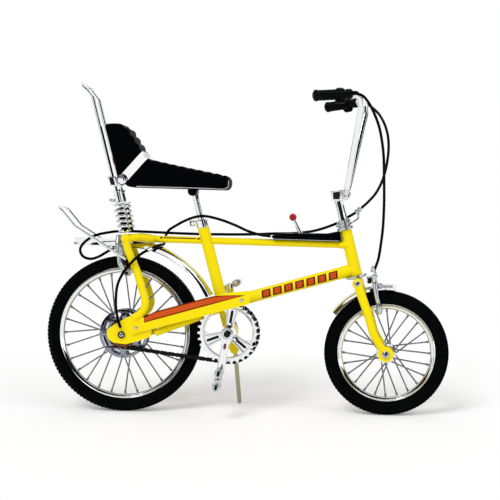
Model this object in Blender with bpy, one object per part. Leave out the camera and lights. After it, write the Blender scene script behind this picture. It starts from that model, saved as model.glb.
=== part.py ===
"""Chopper bicycle: a 1:12 die-cast scale model that leans on its side stand.

Sizes are in millimetres of the model itself. The bicycle is drawn upright in its own frame:
X forward, Y to its left, Z up, with the origin where the rear tyre meets the ground.
One empty then leans the whole model over, and another turns the steering a little.
"""
import math

import bmesh
import bpy
from mathutils import Matrix, Vector

MM = 0.001

# Stance
LEAN = math.radians(5.0)
STEER_REST = math.radians(3.0)
ORIGIN_X = 33.7
ORIGIN_Y = 7.25
GAP = 0.1

# Wheels and tyres
WHEELBASE = 71.9
REAR_RADIUS = 21.4
FRONT_RADIUS = 16.9
REAR_TYRE_HEIGHT = 3.3
FRONT_TYRE_HEIGHT = 3.6
REAR_TYRE_WIDTH = 4.4
FRONT_TYRE_WIDTH = 4.0
RIM_DEPTH = 1.4
RIM_WIDTH = 2.9
WHEEL_STEPS = 36
SPOKE_RADIUS = 0.2
SPOKE_STAGGER = 0.07
REAR_SPOKES = 28
FRONT_SPOKES = 24
AXLE_RADIUS = 0.7

# Frame tubes: bicycle-frame points are (x, z) on the middle plane
CROWN_X = 64.13
CROWN_RISE = 2.03
HEAD_RAKE = math.radians(13.8)
HEAD_LENGTH = 12.5
HEAD_RADIUS = 1.65
TOP_TUBE_RADIUS = 0.95
TOP_TUBE_DROP = 4.0
TOP_TUBE_REAR_Z = 47.6
DOWN_TUBE_RADIUS = 1.65
SEAT_TUBE_RADIUS = 1.6
SEAT_TUBE_TOP = (21.6, 50.6)
BRACKET = (29.1, 22.1)
SHELL_RADIUS = 2.1
SHELL_HALF = 3.0
CRANK_AXLE_RADIUS = 0.9
STAY_JOINT = (27.2, 28.6)
STAY_RADIUS = 1.1
CHAIN_STAY_RADIUS = 0.95
DROPOUT_INNER = 5.15
DROPOUT_OUTER = 5.9
WISHBONE_X = 8.0
STAY_TOP_HALF = 4.5
STAY_LOW_HALF = 5.4
BRIDGE_RADIUS = 0.5

# Fork and steering
FORK_OFFSET = 4.2
BLADE_TOP_RADIUS = 1.25
BLADE_END_RADIUS = 1.0
FORK_END_RADIUS = 2.1
CROWN_DROP = 2.3
CROWN_RADIUS = 1.45
STEERER_RADIUS = 0.9
HEADSET_RADIUS = 2.15
HEADSET_UPPER_RADIUS = 2.3
HEADSET_LOWER_RADIUS = 2.6
STEM_RADIUS = 1.25
STEM_HEIGHT = 8.8
BAR_RADIUS = 0.85
GRIP_RADIUS = 1.35

# Drive
CHAIN_LINE = 3.85
CHAIN_WIDTH = 0.7
CHAIN_DEPTH = 0.95
SPROCKET_RADIUS = 4.0
CHAINRING_RADIUS = 8.5
CHAINRING_TEETH = 30
CRANK_LENGTH = 12.0
RIGHT_CRANK_ANGLE = math.radians(-100.0)
LEFT_CRANK_ANGLE = math.radians(94.0)
LEFT_PEDAL_TURN = math.radians(28.0)
CRANK_INNER = 8.0
CRANK_THICKNESS = 1.1
PEDAL_INNER = 9.8
PEDAL_WIDTH = 5.2
PEDAL_LENGTH = 6.4
PEDAL_BLOCK = 2.7
PEDAL_DEPTH = 2.1
PEDAL_BARREL_RADIUS = 0.8
PEDAL_PIN = 0.45

# Guards
REAR_GUARD_CLEARANCE = 5.1
REAR_GUARD_HALF = 2.9
REAR_GUARD_DEPTH = 2.0
FRONT_GUARD_CLEARANCE = 1.95
FRONT_GUARD_HALF = 2.6
FRONT_GUARD_DEPTH = 1.6
GUARD_WALL = 0.45
CHAIN_GUARD_INNER = 6.0
CHAIN_GUARD_OUTER = 6.55

# Seat
SEAT_POST_RADIUS = 0.95
SADDLE_HALF = 6.4
ROLL_PITCH = 2.45
ROLL_HEIGHT = 0.32
HOOP_HALF = 4.6
HOOP_RADIUS = 0.55
HOOP_LEG = [(0.75, 49.2), (-0.9, 56.8), (-2.0, 61.0), (-3.2, 65.2), (-8.4, 86.0), (-11.4, 89.8)]
SPRING_RADIUS = 1.2
SPRING_WIRE = 0.35
SPRING_TURNS = 4
SPRING_LENGTH = 7.0
SEAT_LUG_Z = 60.0
SEAT_LUG_RADIUS = 1.25

# Side stand
STAND_PIVOT = (30.3, 3.2, 17.0)
STAND_RADIUS = 0.6
STAND_FOOT_X = 31.0
STAND_FOOT_Y = 10.9

# Cables
CABLE_RADIUS = 0.38
CABLE_PITCH = 3.0


def clear_scene():
    for item in list(bpy.data.objects):
        bpy.data.objects.remove(item)


def material(name, colour, roughness, metallic):
    made = bpy.data.materials.new(name)
    made.use_nodes = True
    shader = made.node_tree.nodes["Principled BSDF"]
    shader.inputs["Base Color"].default_value = (*colour, 1.0)
    shader.inputs["Roughness"].default_value = roughness
    shader.inputs["Metallic"].default_value = metallic
    return made


# Paths and sections

def plane_points(points, y=0.0):
    """Turn (x, z) pairs on one upright plane into points."""
    return [Vector((x, y, z)) for x, z in points]


def rounded(points, radius, steps=4):
    """A polyline whose inner corners are arcs of the given radius."""
    points = [Vector(p) for p in points]
    path = [points[0]]
    for before, corner, after in zip(points, points[1:], points[2:]):
        back = (before - corner).normalized()
        ahead = (after - corner).normalized()
        half = back.angle(ahead) / 2
        if half > math.radians(89.0):
            path.append(corner)
            continue
        reach = min(radius / math.tan(half), 0.48 * min((before - corner).length, (after - corner).length))
        arc_radius = reach * math.tan(half)
        centre = corner + (back + ahead).normalized() * (arc_radius / math.sin(half))
        start = corner + back * reach - centre
        normal = start.cross(corner + ahead * reach - centre).normalized()
        sweep_angle = math.pi - 2 * half
        for step in range(steps + 1):
            path.append(centre + Matrix.Rotation(sweep_angle * step / steps, 3, normal) @ start)
    path.append(points[-1])
    return path


def smooth(points, pitch):
    """A Catmull-Rom curve through the points, cut into steps of about one pitch."""
    points = [Vector(p) for p in points]
    padded = [2 * points[0] - points[1]] + points + [2 * points[-1] - points[-2]]
    path = [points[0]]
    for a, b, c, d in zip(padded, padded[1:], padded[2:], padded[3:]):
        steps = max(1, round((c - b).length / pitch))
        for step in range(1, steps + 1):
            t = step / steps
            path.append(0.5 * (2 * b + (c - a) * t + (2 * a - 5 * b + 4 * c - d) * t ** 2
                               + (3 * b - a - 3 * c + d) * t ** 3))
    return path


def circle(radius, sides, turn=0.0):
    angles = [turn + 2 * math.pi * i / sides for i in range(sides)]
    return [(radius * math.cos(a), radius * math.sin(a)) for a in angles]


def tangents(path, closed):
    count = len(path)
    for i in range(count):
        before = path[(i - 1) % count] if closed or i else path[i]
        after = path[(i + 1) % count] if closed or i < count - 1 else path[i]
        yield (after - before).normalized()


def loft(rings, closed=False):
    """Skin rings of points, closed end to end or capped."""
    bm = bmesh.new()
    rows = [[bm.verts.new(p) for p in ring] for ring in rings]
    count = len(rows[0])
    pairs = list(zip(rows, rows[1:]))
    if closed:
        pairs.append((rows[-1], rows[0]))
    for low, high in pairs:
        for i in range(count):
            j = (i + 1) % count
            bm.faces.new((low[i], low[j], high[j], high[i]))
    if not closed:
        bm.faces.new(rows[0])
        bm.faces.new(rows[-1])
    bmesh.ops.remove_doubles(bm, verts=bm.verts, dist=1e-5)
    bmesh.ops.recalc_face_normals(bm, faces=bm.faces)
    return bm


def sweep(path, sections, up=(0, 1, 0), closed=False):
    """Carry a section (or one for each point) along a path. A section's first axis leans towards up."""
    if not isinstance(sections[0], list):
        sections = [sections] * len(path)
    side = Vector(up)
    rings = []
    for point, along, section in zip(path, tangents(path, closed), sections):
        side = (side - along * side.dot(along)).normalized()
        other = along.cross(side)
        rings.append([point + side * a + other * b for a, b in section])
    return loft(rings, closed)


def tube(path, radius, sides=12, end_radius=None):
    end_radius = radius if end_radius is None else end_radius
    path = [Vector(p) for p in path]
    count = len(path) - 1
    sections = [circle(radius + (end_radius - radius) * i / count, sides) for i in range(count + 1)]
    up = (0, 1, 0) if abs((path[1] - path[0]).normalized().y) < 0.9 else (0, 0, 1)
    return sweep(path, sections, up)


def turned(profile, centre, steps, flats_down=False):
    """Revolve a closed (radius, y) profile about the Y axis through the (x, z) centre."""
    stretch = 1 / math.cos(math.pi / steps) if flats_down else 1.0
    turn = math.pi / steps if flats_down else 0.0
    rings = []
    for i in range(steps):
        angle = turn + 2 * math.pi * i / steps
        ring = []
        for r, y in profile:
            x, z = polar(centre, r * stretch, angle)
            ring.append((x, y, z))
        rings.append(ring)
    return loft(rings, closed=True)


def plate(outline, y_low, y_high):
    """An outline of (x, z) points given a thickness along Y."""
    return loft([[(x, y, z) for x, z in outline] for y in (y_low, y_high)])


def slot_outline(centre, angle, length, width, steps=5):
    """A round-ended slot, as an outline that loft can cap."""
    half = (length - width) / 2
    points = []
    for end, start in ((1, -90), (-1, 90)):
        for i in range(steps + 1):
            a = math.radians(start + 180 * i / steps)
            u = end * half + width / 2 * math.cos(a)
            v = width / 2 * math.sin(a)
            points.append((centre[0] + u * math.cos(angle) - v * math.sin(angle),
                           centre[1] + u * math.sin(angle) + v * math.cos(angle)))
    return points


def polar(centre, radius, angle):
    return (centre[0] + radius * math.cos(angle), centre[1] + radius * math.sin(angle))


def mirrored(bm):
    """A copy on the other side of the middle plane."""
    copy = bm.copy()
    bmesh.ops.scale(copy, vec=(1, -1, 1), verts=copy.verts)
    bmesh.ops.reverse_faces(copy, faces=copy.faces)
    return copy


# Objects

class Group:
    """An empty that carries pieces, at a point of the upright bicycle."""

    def __init__(self, name, place, parent=None, turn=None):
        self.place = Vector(place)
        self.empty = bpy.data.objects.new(name, None)
        bpy.context.collection.objects.link(self.empty)
        if parent:
            self.empty.parent = parent.empty
            self.empty.location = (self.place - parent.place) * MM
        else:
            self.empty.location = self.place * MM
        if turn:
            self.empty.rotation_euler = turn.to_euler()


def as_object(name, bm, group, made_of=None):
    for vert in bm.verts:
        vert.co = (vert.co - group.place) * MM
    mesh = bpy.data.meshes.new(name)
    bm.to_mesh(mesh)
    bm.free()
    piece = bpy.data.objects.new(name, mesh)
    piece.parent = group.empty
    bpy.context.collection.objects.link(piece)
    if made_of:
        mesh.materials.append(made_of)
        mesh.shade_smooth()
        mesh.set_sharp_from_angle(angle=math.radians(35))
    return piece


def helper(bm, group):
    piece = as_object("guide", bm, group)
    piece.hide_render = True
    piece.display_type = "WIRE"
    return piece


def combine(piece, bm, group, operation):
    modifier = piece.modifiers.new(operation.lower(), "BOOLEAN")
    modifier.operation = operation
    modifier.solver = "EXACT"
    modifier.object = helper(bm, group)


def add(name, group, made_of, solids, cuts=()):
    """One node: the first solid, joined by the others, less the cuts."""
    piece = as_object(name, solids[0], group, made_of)
    for solid in solids[1:]:
        combine(piece, solid, group, "UNION")
    for cut in cuts:
        combine(piece, cut, group, "DIFFERENCE")
    return piece


def add_cable(name, group, made_of, points):
    path = smooth(points, CABLE_PITCH)
    curve = bpy.data.curves.new(name, "CURVE")
    curve.dimensions = "3D"
    curve.bevel_depth = CABLE_RADIUS * MM
    curve.bevel_resolution = 1
    curve.use_fill_caps = True
    spline = curve.splines.new("POLY")
    spline.points.add(len(path) - 1)
    for target, point in zip(spline.points, path):
        target.co = (*((point - group.place) * MM), 1.0)
    curve.materials.append(made_of)
    piece = bpy.data.objects.new(name, curve)
    piece.parent = group.empty
    bpy.context.collection.objects.link(piece)


# Places worked out from the sizes

UP_AXIS = Vector((-math.sin(HEAD_RAKE), 0, math.cos(HEAD_RAKE)))
REAR_AXLE = (0.0, REAR_RADIUS)
FRONT_AXLE = (WHEELBASE, FRONT_RADIUS)
CROWN = Vector((CROWN_X, 0, 2 * FRONT_RADIUS + CROWN_RISE))
HEAD_BASE = CROWN + UP_AXIS * CROWN_DROP
HEAD = HEAD_BASE + UP_AXIS * HEAD_LENGTH
DOWN_TUBE_FRONT = HEAD_BASE + UP_AXIS * 1.28 + Vector((-0.98, 0, 0))
DOWN_TUBE_REAR = Vector((STAY_JOINT[0], 0, STAY_JOINT[1] + 1.0))
REAR_GUARD_CENTRE = (0.6, REAR_RADIUS - 0.6)
REAR_GUARD_RADIUS = REAR_RADIUS + REAR_GUARD_CLEARANCE
REAR_GUARD_TOP = REAR_GUARD_CENTRE[1] + REAR_GUARD_RADIUS
STAY_CORNER = (0.6, TOP_TUBE_REAR_Z)
BRIDGE_Z = REAR_GUARD_TOP + GAP + BRIDGE_RADIUS
BAR_CLAMP = (HEAD.x - 0.05, HEAD.z + 9.6)
GRIP_START = HEAD + Vector((2.2, 16.65, 35.8))
BAR_END = HEAD + Vector((-6.3, 22.6, 35.0))
HANGER_EYE = HEAD + Vector((3.4, 2.0, 5.4))


def on_head(distance):
    """A point on the steering axis, measured down from the head tube's top."""
    return HEAD - UP_AXIS * distance


def seat_tube_at(z):
    (x0, z0), (x1, z1) = BRACKET, SEAT_TUBE_TOP
    return Vector((x0 + (x1 - x0) * (z - z0) / (z1 - z0), 0, z))


def across_bracket(y_low, y_high):
    """The two ends of a line across the bicycle, through the middle of the bottom bracket."""
    return [Vector((BRACKET[0], y, BRACKET[1])) for y in (y_low, y_high)]


def top_tube_z(x):
    return TOP_TUBE_REAR_Z + (HEAD.z - TOP_TUBE_DROP - TOP_TUBE_REAR_Z) * x / HEAD.x


def down_tube_z(x):
    slope = (DOWN_TUBE_FRONT.z - DOWN_TUBE_REAR.z) / (DOWN_TUBE_FRONT.x - DOWN_TUBE_REAR.x)
    return DOWN_TUBE_REAR.z + (x - DOWN_TUBE_REAR.x) * slope


SEAT_LUG = seat_tube_at(SEAT_LUG_Z)


# Wheels

def tyre(name, group, rubber, centre, radius, height, width):
    half, inner = width / 2, radius - height
    right = [(inner, -0.62 * half), (inner + 0.3 * height, -0.98 * half), (inner + 0.62 * height, -half),
             (inner + 0.9 * height, -0.62 * half)]
    left = [(r, -y) for r, y in reversed(right)]
    profile = right + [(radius, 0.0)] + left
    add(name, group, rubber, [turned(profile, centre, WHEEL_STEPS, flats_down=True)])


def rim(centre, outer):
    half, inner = RIM_WIDTH / 2, outer - RIM_DEPTH
    profile = [(outer, -half), (outer, half), (inner + 0.25 * RIM_DEPTH, 0.85 * half), (inner, 0.0),
               (inner + 0.25 * RIM_DEPTH, -0.85 * half)]
    return turned(profile, centre, WHEEL_STEPS)


def spokes(centre, count, flange_radius, flange_y, rim_radius, cross):
    """Crossed spokes: every second one leans the other way, every second pair is on the other flange."""
    for i in range(count):
        side = 1 if i % 2 else -1
        lean = cross if i % 4 < 2 else -cross
        angle = 2 * math.pi * i / count
        hub_x, hub_z = polar(centre, flange_radius, angle + lean)
        rim_x, rim_z = polar(centre, rim_radius, angle)
        depth = flange_y + (SPOKE_STAGGER if lean > 0 else -SPOKE_STAGGER)
        yield tube([(hub_x, side * depth, hub_z), (rim_x, side * 0.35, rim_z)], SPOKE_RADIUS, 3)


def rear_wheel(group, steel):
    flange_radius, flange_inner, flange_outer, barrel = 6.7, 2.1, 2.6, 1.6
    sprocket_y = CHAIN_LINE + CHAIN_WIDTH / 2 + GAP
    shoulder = SPROCKET_RADIUS - CHAIN_DEPTH - GAP
    end = DROPOUT_OUTER + 0.4
    profile = [(0, -end), (AXLE_RADIUS, -end), (AXLE_RADIUS, -sprocket_y - 0.55),
               (SPROCKET_RADIUS, -sprocket_y - 0.55), (SPROCKET_RADIUS, -sprocket_y),
               (shoulder, -sprocket_y), (shoulder, -flange_outer), (flange_radius, -flange_outer),
               (flange_radius, -flange_inner), (barrel, -flange_inner), (barrel, flange_inner),
               (flange_radius, flange_inner), (flange_radius, flange_outer), (barrel, flange_outer),
               (barrel, DROPOUT_INNER - 0.3), (AXLE_RADIUS, DROPOUT_INNER - 0.3), (AXLE_RADIUS, end),
               (0, end)]
    hub = turned(profile, REAR_AXLE, 20)
    slots = []
    for i in range(8):
        angle = math.pi / 8 + math.pi / 4 * i
        centre = polar(REAR_AXLE, 5.35, angle)
        slots.append(plate(slot_outline(centre, angle + math.pi / 2, 2.9, 1.1, 2),
                           -flange_outer - 0.2, -flange_inner + 0.2))
    rim_outer = REAR_RADIUS - REAR_TYRE_HEIGHT - GAP
    laced = spokes(REAR_AXLE, REAR_SPOKES, flange_radius - 0.3, (flange_inner + flange_outer) / 2,
                   rim_outer - RIM_DEPTH / 2, math.radians(10))
    wheel = add("rear_wheel", group, steel, [hub], slots)
    for solid in [rim(REAR_AXLE, rim_outer), *laced]:
        combine(wheel, solid, group, "UNION")


def front_wheel(group, steel):
    flange_radius, flange_inner, flange_outer, barrel = 2.7, 1.9, 2.4, 1.1
    end = FORK_OFFSET + 0.9
    inner_face = FORK_OFFSET - 0.5 - 0.2
    half = [(0, end), (AXLE_RADIUS, end), (AXLE_RADIUS, inner_face), (barrel, inner_face),
            (barrel, flange_outer), (flange_radius, flange_outer), (flange_radius, flange_inner),
            (barrel, flange_inner)]
    profile = half + [(r, -y) for r, y in reversed(half)]
    rim_outer = FRONT_RADIUS - FRONT_TYRE_HEIGHT - GAP
    laced = spokes(FRONT_AXLE, FRONT_SPOKES, flange_radius - 0.3, (flange_inner + flange_outer) / 2,
                   rim_outer - RIM_DEPTH / 2, math.radians(30))
    add("front_wheel", group, steel, [turned(profile, FRONT_AXLE, 16), rim(FRONT_AXLE, rim_outer), *laced])


# Frame

def main_tubes(group, paint):
    add("head_tube", group, paint, [tube([HEAD, HEAD_BASE], HEAD_RADIUS, 20)],
        [tube([on_head(-1), on_head(HEAD_LENGTH + 1)], STEERER_RADIUS + GAP, 16)])
    head_cut = tube([on_head(-4), on_head(HEAD_LENGTH + 4)], HEAD_RADIUS + GAP, 20)
    seat_low, seat_high = seat_tube_at(BRACKET[1] - 4), seat_tube_at(SEAT_TUBE_TOP[1] + 4)
    seat_cut = tube([seat_low, seat_high], SEAT_TUBE_RADIUS + GAP, 20)
    top_front, top_seat, top_rear = [Vector((x, 0, top_tube_z(x)))
                                     for x in (HEAD.x + 0.6, seat_tube_at(TOP_TUBE_REAR_Z).x, WISHBONE_X)]
    add("top_tube", group, paint, [tube([top_front, top_seat], TOP_TUBE_RADIUS, 16)],
        [head_cut.copy(), seat_cut.copy()])
    race_cut = tube([on_head(HEAD_LENGTH), on_head(HEAD_LENGTH + 3)], HEADSET_LOWER_RADIUS + GAP, 16)
    add("down_tube", group, paint, [tube([DOWN_TUBE_FRONT, DOWN_TUBE_REAR], DOWN_TUBE_RADIUS, 20)],
        [head_cut, seat_cut.copy(), race_cut])
    add("rear_top_tube", group, paint, [tube([top_seat, top_rear], TOP_TUBE_RADIUS, 16)], [seat_cut])
    shell = tube(across_bracket(-SHELL_HALF, SHELL_HALF), SHELL_RADIUS, 24)
    axle_cut = tube(across_bracket(-SHELL_HALF - 1, SHELL_HALF + 1), CRANK_AXLE_RADIUS + GAP, 20)
    top = seat_tube_at(SEAT_TUBE_TOP[1])
    post_cut = tube([seat_tube_at(SEAT_TUBE_TOP[1] + 1), seat_tube_at(44)], SEAT_POST_RADIUS + GAP, 16)
    add("seat_tube", group, paint, [tube([seat_tube_at(BRACKET[1]), top], SEAT_TUBE_RADIUS, 20), shell],
        [axle_cut, post_cut])


def stay_path():
    """The left seat stay, from the top tube's end round the wheel to the dropout."""
    return rounded([(WISHBONE_X - GAP, 1.15, top_tube_z(WISHBONE_X)), (4.0, 3.4, TOP_TUBE_REAR_Z + 0.3),
                    (STAY_CORNER[0], STAY_TOP_HALF, STAY_CORNER[1]), (1.5, STAY_TOP_HALF, 44.4),
                    (4.1, 4.7, 38.2), (6.2, 5.1, 31.6), (6.6, 5.3, 29.3), (5.4, STAY_LOW_HALF, 27.3),
                    (3.3, STAY_LOW_HALF, 25.9)], 3.0, 2)


def stays(group, paint):
    """Both rear sides: a stay from the top tube round the wheel to its dropout, and a chain stay."""
    seat_line = [seat_tube_at(BRACKET[1] - 4), seat_tube_at(SEAT_TUBE_TOP[1])]
    seat_cut = tube(seat_line, SEAT_TUBE_RADIUS + GAP, 20)
    leg = stay_path()
    dropout = [(-4.1, 21.6), (-3.9, 22.6), (-3.3, 23.3), (-1.2, 24.6), (1.0, 25.9), (3.9, 27.2), (5.6, 26.6),
               (6.4, 24.6), (8.2, 22.7), (8.0, 20.9), (4.3, 19.6), (1.0, 18.8), (-2.3, 19.2), (-3.6, 20.1)]
    hole = tube([(0, y, REAR_RADIUS) for y in (DROPOUT_INNER - 1, DROPOUT_OUTER + 1)], AXLE_RADIUS + GAP, 16)
    chain_stay = rounded([(STAY_JOINT[0], 0.7, STAY_JOINT[1]), (22.5, 2.45, 26.8), (18.5, 3.5, 25.3),
                          (10.0, 4.7, 22.2), (9.0, 4.85, 21.8)], 8.0, 2)
    left_solids = [plate(dropout, DROPOUT_INNER, DROPOUT_OUTER), tube(leg, STAY_RADIUS, 10)]
    add("seat_stay_left", group, paint, [s.copy() for s in left_solids], [hole.copy()])
    add("seat_stay_right", group, paint, [mirrored(s) for s in left_solids], [mirrored(hole)])
    rod = tube(chain_stay, CHAIN_STAY_RADIUS, 10)
    add("chain_stay_left", group, paint, [rod.copy()], [seat_cut.copy(), split_plane(1)])
    add("chain_stay_right", group, paint, [mirrored(rod)], [seat_cut, split_plane(-1)])


def split_plane(side):
    """A block that keeps a stay on its own side of the middle plane."""
    low, high = sorted((side * 0.08, -side * 6.0))
    return plate([(20, 22), (34, 22), (34, 34), (20, 34)], low, high)


def stay_bridge(group, paint):
    """The bar between the stays, just over the rear mudguard, that carries the brake."""
    x = STAY_CORNER[0]
    half = STAY_TOP_HALF - STAY_RADIUS
    stay = tube(stay_path(), STAY_RADIUS + GAP, 10)
    add("stay_bridge", group, paint, [tube([(x, -half, BRIDGE_Z), (x, half, BRIDGE_Z)], BRIDGE_RADIUS, 12)],
        [mirrored(stay), stay])


def headset(group, chrome):
    """Stepped rings on the steering axis, above and below the head tube. Rows: distance down, radius."""
    upper = [(-GAP, HEADSET_UPPER_RADIUS), (-1.0, HEADSET_UPPER_RADIUS), (-1.05, 1.8), (-1.9, 1.8),
             (-1.95, HEADSET_RADIUS), (-2.8, HEADSET_RADIUS)]
    lower = [(HEAD_LENGTH + GAP, 2.3), (HEAD_LENGTH + 0.35, HEADSET_LOWER_RADIUS),
             (HEAD_LENGTH + 0.75, HEADSET_LOWER_RADIUS)]
    rings = [sweep([on_head(distance) for distance, _ in rows], [circle(radius, 16) for _, radius in rows])
             for rows in (upper, lower)]
    bores = [tube([on_head(high), on_head(low)], STEERER_RADIUS + GAP, 16)
             for high, low in ((-4.0, 1.0), (HEAD_LENGTH - 1.0, HEAD_LENGTH + 2.0))]
    arm = rounded([on_head(-1.4) + Vector((1.2, 0.6, 0)), HANGER_EYE + Vector((-0.1, 0, -2.3)), HANGER_EYE],
                  0.8, 3)
    eye_axis = Vector((0.75, -0.1, 0.65)).normalized() * 0.8
    hanger = [sweep(arm, [(-0.7, -0.22), (0.7, -0.22), (0.7, 0.22), (-0.7, 0.22)]),
              tube([HANGER_EYE - eye_axis, HANGER_EYE + eye_axis], 0.85, 12)]
    eye_bore = tube([HANGER_EYE - 2 * eye_axis, HANGER_EYE + 2 * eye_axis], CABLE_RADIUS + GAP, 12)
    add("headset_upper", group, chrome, [rings[0], *hanger], [bores[0], eye_bore])
    add("headset_lower", group, chrome, [rings[1]], [bores[1]])


# Steering

def fork(group, paint):
    crown = tube([CROWN + Vector((0, -5.2, 0)), CROWN + Vector((0, 5.2, 0))], CROWN_RADIUS, 16)
    axle_x, axle_z = FRONT_AXLE
    blade = rounded(plane_points([(CROWN.x, CROWN.z), (CROWN.x + 2.77, CROWN.z - 7.73),
                                  (axle_x - 3.4, axle_z + 5.3), (axle_x - 1.3, axle_z + 1.8), FRONT_AXLE],
                                 FORK_OFFSET), 5.0, 1)
    leg = tube(blade, BLADE_TOP_RADIUS, 10, BLADE_END_RADIUS)
    end, inside, hole = [tube([(axle_x, y, axle_z) for y in span], radius, 20) for span, radius in
                         (((FORK_OFFSET - 0.5, FORK_OFFSET + 0.5), FORK_END_RADIUS),
                          ((FORK_OFFSET - 0.5, FORK_OFFSET - 2.0), FORK_END_RADIUS + 0.6),
                          ((-6, 6), AXLE_RADIUS + GAP))]
    steerer = tube([CROWN, on_head(-2.8)], STEERER_RADIUS, 12)
    add("fork", group, paint, [crown, steerer, leg, mirrored(leg), end, mirrored(end)],
        [mirrored(inside), inside, hole])


def stem(group, chrome):
    """The quill stands on the steerer, and its head block reaches forward round the handlebar."""
    quill = tube([on_head(-2.8 - GAP), on_head(-STEM_HEIGHT)], STEM_RADIUS, 16)
    x, z = BAR_CLAMP
    nose = [polar(BAR_CLAMP, 1.45, math.radians(a)) for a in range(-100, 81, 30)]
    block = plate([(x - 3.7, z - 1.6), *nose, (x - 4.0, z + 0.9)], -1.7, 1.7)
    bore = tube([(x, -3, z), (x, 3, z)], BAR_RADIUS + GAP, 16)
    add("stem", group, chrome, [quill, block], [bore])


def bar_path():
    x, z = BAR_CLAMP
    left = [(x, 3.0, z), (x + 0.6, 4.9, z + 2.2), HEAD + Vector((4.6, 14.2, 32.4)),
            HEAD + Vector((4.4, 15.4, 35.3)), GRIP_START, BAR_END]
    right = [(px, -py, pz) for px, py, pz in reversed(left)]
    return rounded([*right, *left], 2.2, 3)


def handlebar(group, chrome, rubber, alloy):
    add("handlebar", group, chrome, [tube(bar_path(), BAR_RADIUS, 8)])
    along = (BAR_END - GRIP_START).normalized()
    out = (Vector((0, 1, 0)) - along * along.y).normalized()
    start, end = GRIP_START + along * 0.2, BAR_END + along * 0.9
    length = (end - start).length
    # Rows: distance from the inner end, radius
    rows = [(0, GRIP_RADIUS), (1.3, GRIP_RADIUS), (1.4, 1.25), (2.2, 1.25), (2.3, 1.45), (4.4, 1.45),
            (4.5, GRIP_RADIUS - 0.05), (length - 1.2, GRIP_RADIUS), (length - 0.5, 1.5), (length, 1.3)]
    grip = sweep([start + along * d for d, _ in rows], [circle(r, 10) for _, r in rows])
    bore = tube([start - along, BAR_END + along * GAP], BAR_RADIUS + GAP, 8)
    # The lever lies along the outer side of the grip, on its own clamp ring
    clamp = start + along * 3.3
    ring = tube([clamp - along * 0.9, clamp + along * 0.9], 1.95, 12)
    ring_bore = tube([clamp - along * 2, clamp + along * 2], 1.45 + GAP, 10)
    blade = [clamp + out * 2.0 - along * 3.0, clamp + out * 2.1, clamp + out * 2.4 + along * 3.5,
             clamp + out * 2.3 + along * 7.4]
    lever = sweep(smooth(blade, 1.2), [(-0.28, -0.5), (0.28, -0.5), (0.28, 0.5), (-0.28, 0.5)], tuple(out))
    left = [grip, bore, ring, lever, ring_bore]
    for side, solids in (("right", [mirrored(solid) for solid in left]), ("left", left)):
        add("grip_" + side, group, rubber, [solids[0]], [solids[1]])
        add("brake_lever_" + side, group, alloy, solids[2:4], [solids[4]])


def guard_section(half, depth):
    """A curved channel: outer arc out, inner arc back."""
    radius = (half * half + depth * depth) / (2 * depth)
    reach = math.asin(min(1.0, half / radius)) if depth <= radius else math.pi - math.asin(half / radius)
    angles = [-reach + 2 * reach * i / 6 for i in range(7)]
    inner = radius - GUARD_WALL
    return ([(radius * math.sin(a), radius * (1 - math.cos(a))) for a in angles]
            + [(inner * math.sin(a), radius - inner * math.cos(a)) for a in reversed(angles)])


def arc_path(centre, radius, start, end, steps):
    return plane_points([polar(centre, radius, math.radians(start + (end - start) * i / steps))
                         for i in range(steps + 1)])


def front_mudguard(group, chrome):
    path = arc_path(FRONT_AXLE, FRONT_RADIUS + FRONT_GUARD_CLEARANCE, 82, 143, 10)
    add("front_mudguard", group, chrome, [sweep(path, guard_section(FRONT_GUARD_HALF, FRONT_GUARD_DEPTH))])


def front_brake(group, alloy):
    """Caliper arms in front of the fork, bolted through to the crown."""
    x, z = FRONT_AXLE[0] - 2.0, FRONT_AXLE[1] + 12.3
    arm = [(x, 2.75, z), (x - 0.4, 3.4, z + 2.4), CROWN + Vector((4.57, 3.4, 0.17)),
           CROWN + Vector((4.17, 2.4, 1.97)), CROWN + Vector((4.17, 0, 2.17))]
    arch = rounded(arm + [(px, -py, pz) for px, py, pz in reversed(arm[:-1])], 1.2, 2)
    ahead = Vector((0.94, 0, 0.34))
    bolt = tube([CROWN + Vector((4.17, 0, 1.97)), CROWN + ahead * (CROWN_RADIUS + GAP)], 0.4, 8)
    pads = [tube([(x, s * 1.75, z), (x, s * 2.9, z)], 0.65, 8) for s in (1, -1)]
    add("front_brake", group, alloy, [tube(arch, 0.5, 6), bolt, *pads])


# Mudguard, rack and rear brake

def rear_mudguard(group, chrome):
    """An arc about the wheel that runs out straight behind, clear of the tubes that pass over it."""
    arc = arc_path(REAR_GUARD_CENTRE, REAR_GUARD_RADIUS, 26, 90, 14)
    tail_rows = ((-4.5, 0.25), (-9.0, 0.4), (-13.8, 0.4))
    tail = plane_points([(x, REAR_GUARD_TOP + rise) for x, rise in tail_rows])
    section = guard_section(REAR_GUARD_HALF, REAR_GUARD_DEPTH)
    stay = tube(stay_path(), STAY_RADIUS + GAP, 10)
    top_line = [(x, 0, top_tube_z(x)) for x in (SEAT_TUBE_TOP[0], WISHBONE_X - 1)]
    seat_line = [seat_tube_at(BRACKET[1]), seat_tube_at(TOP_TUBE_REAR_Z)]
    cuts = [mirrored(stay), stay, tube(top_line, TOP_TUBE_RADIUS + GAP, 16),
            tube(seat_line, SEAT_TUBE_RADIUS + GAP, 20)]
    add("rear_mudguard", group, chrome, [sweep(arc + tail, section)], cuts)


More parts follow.
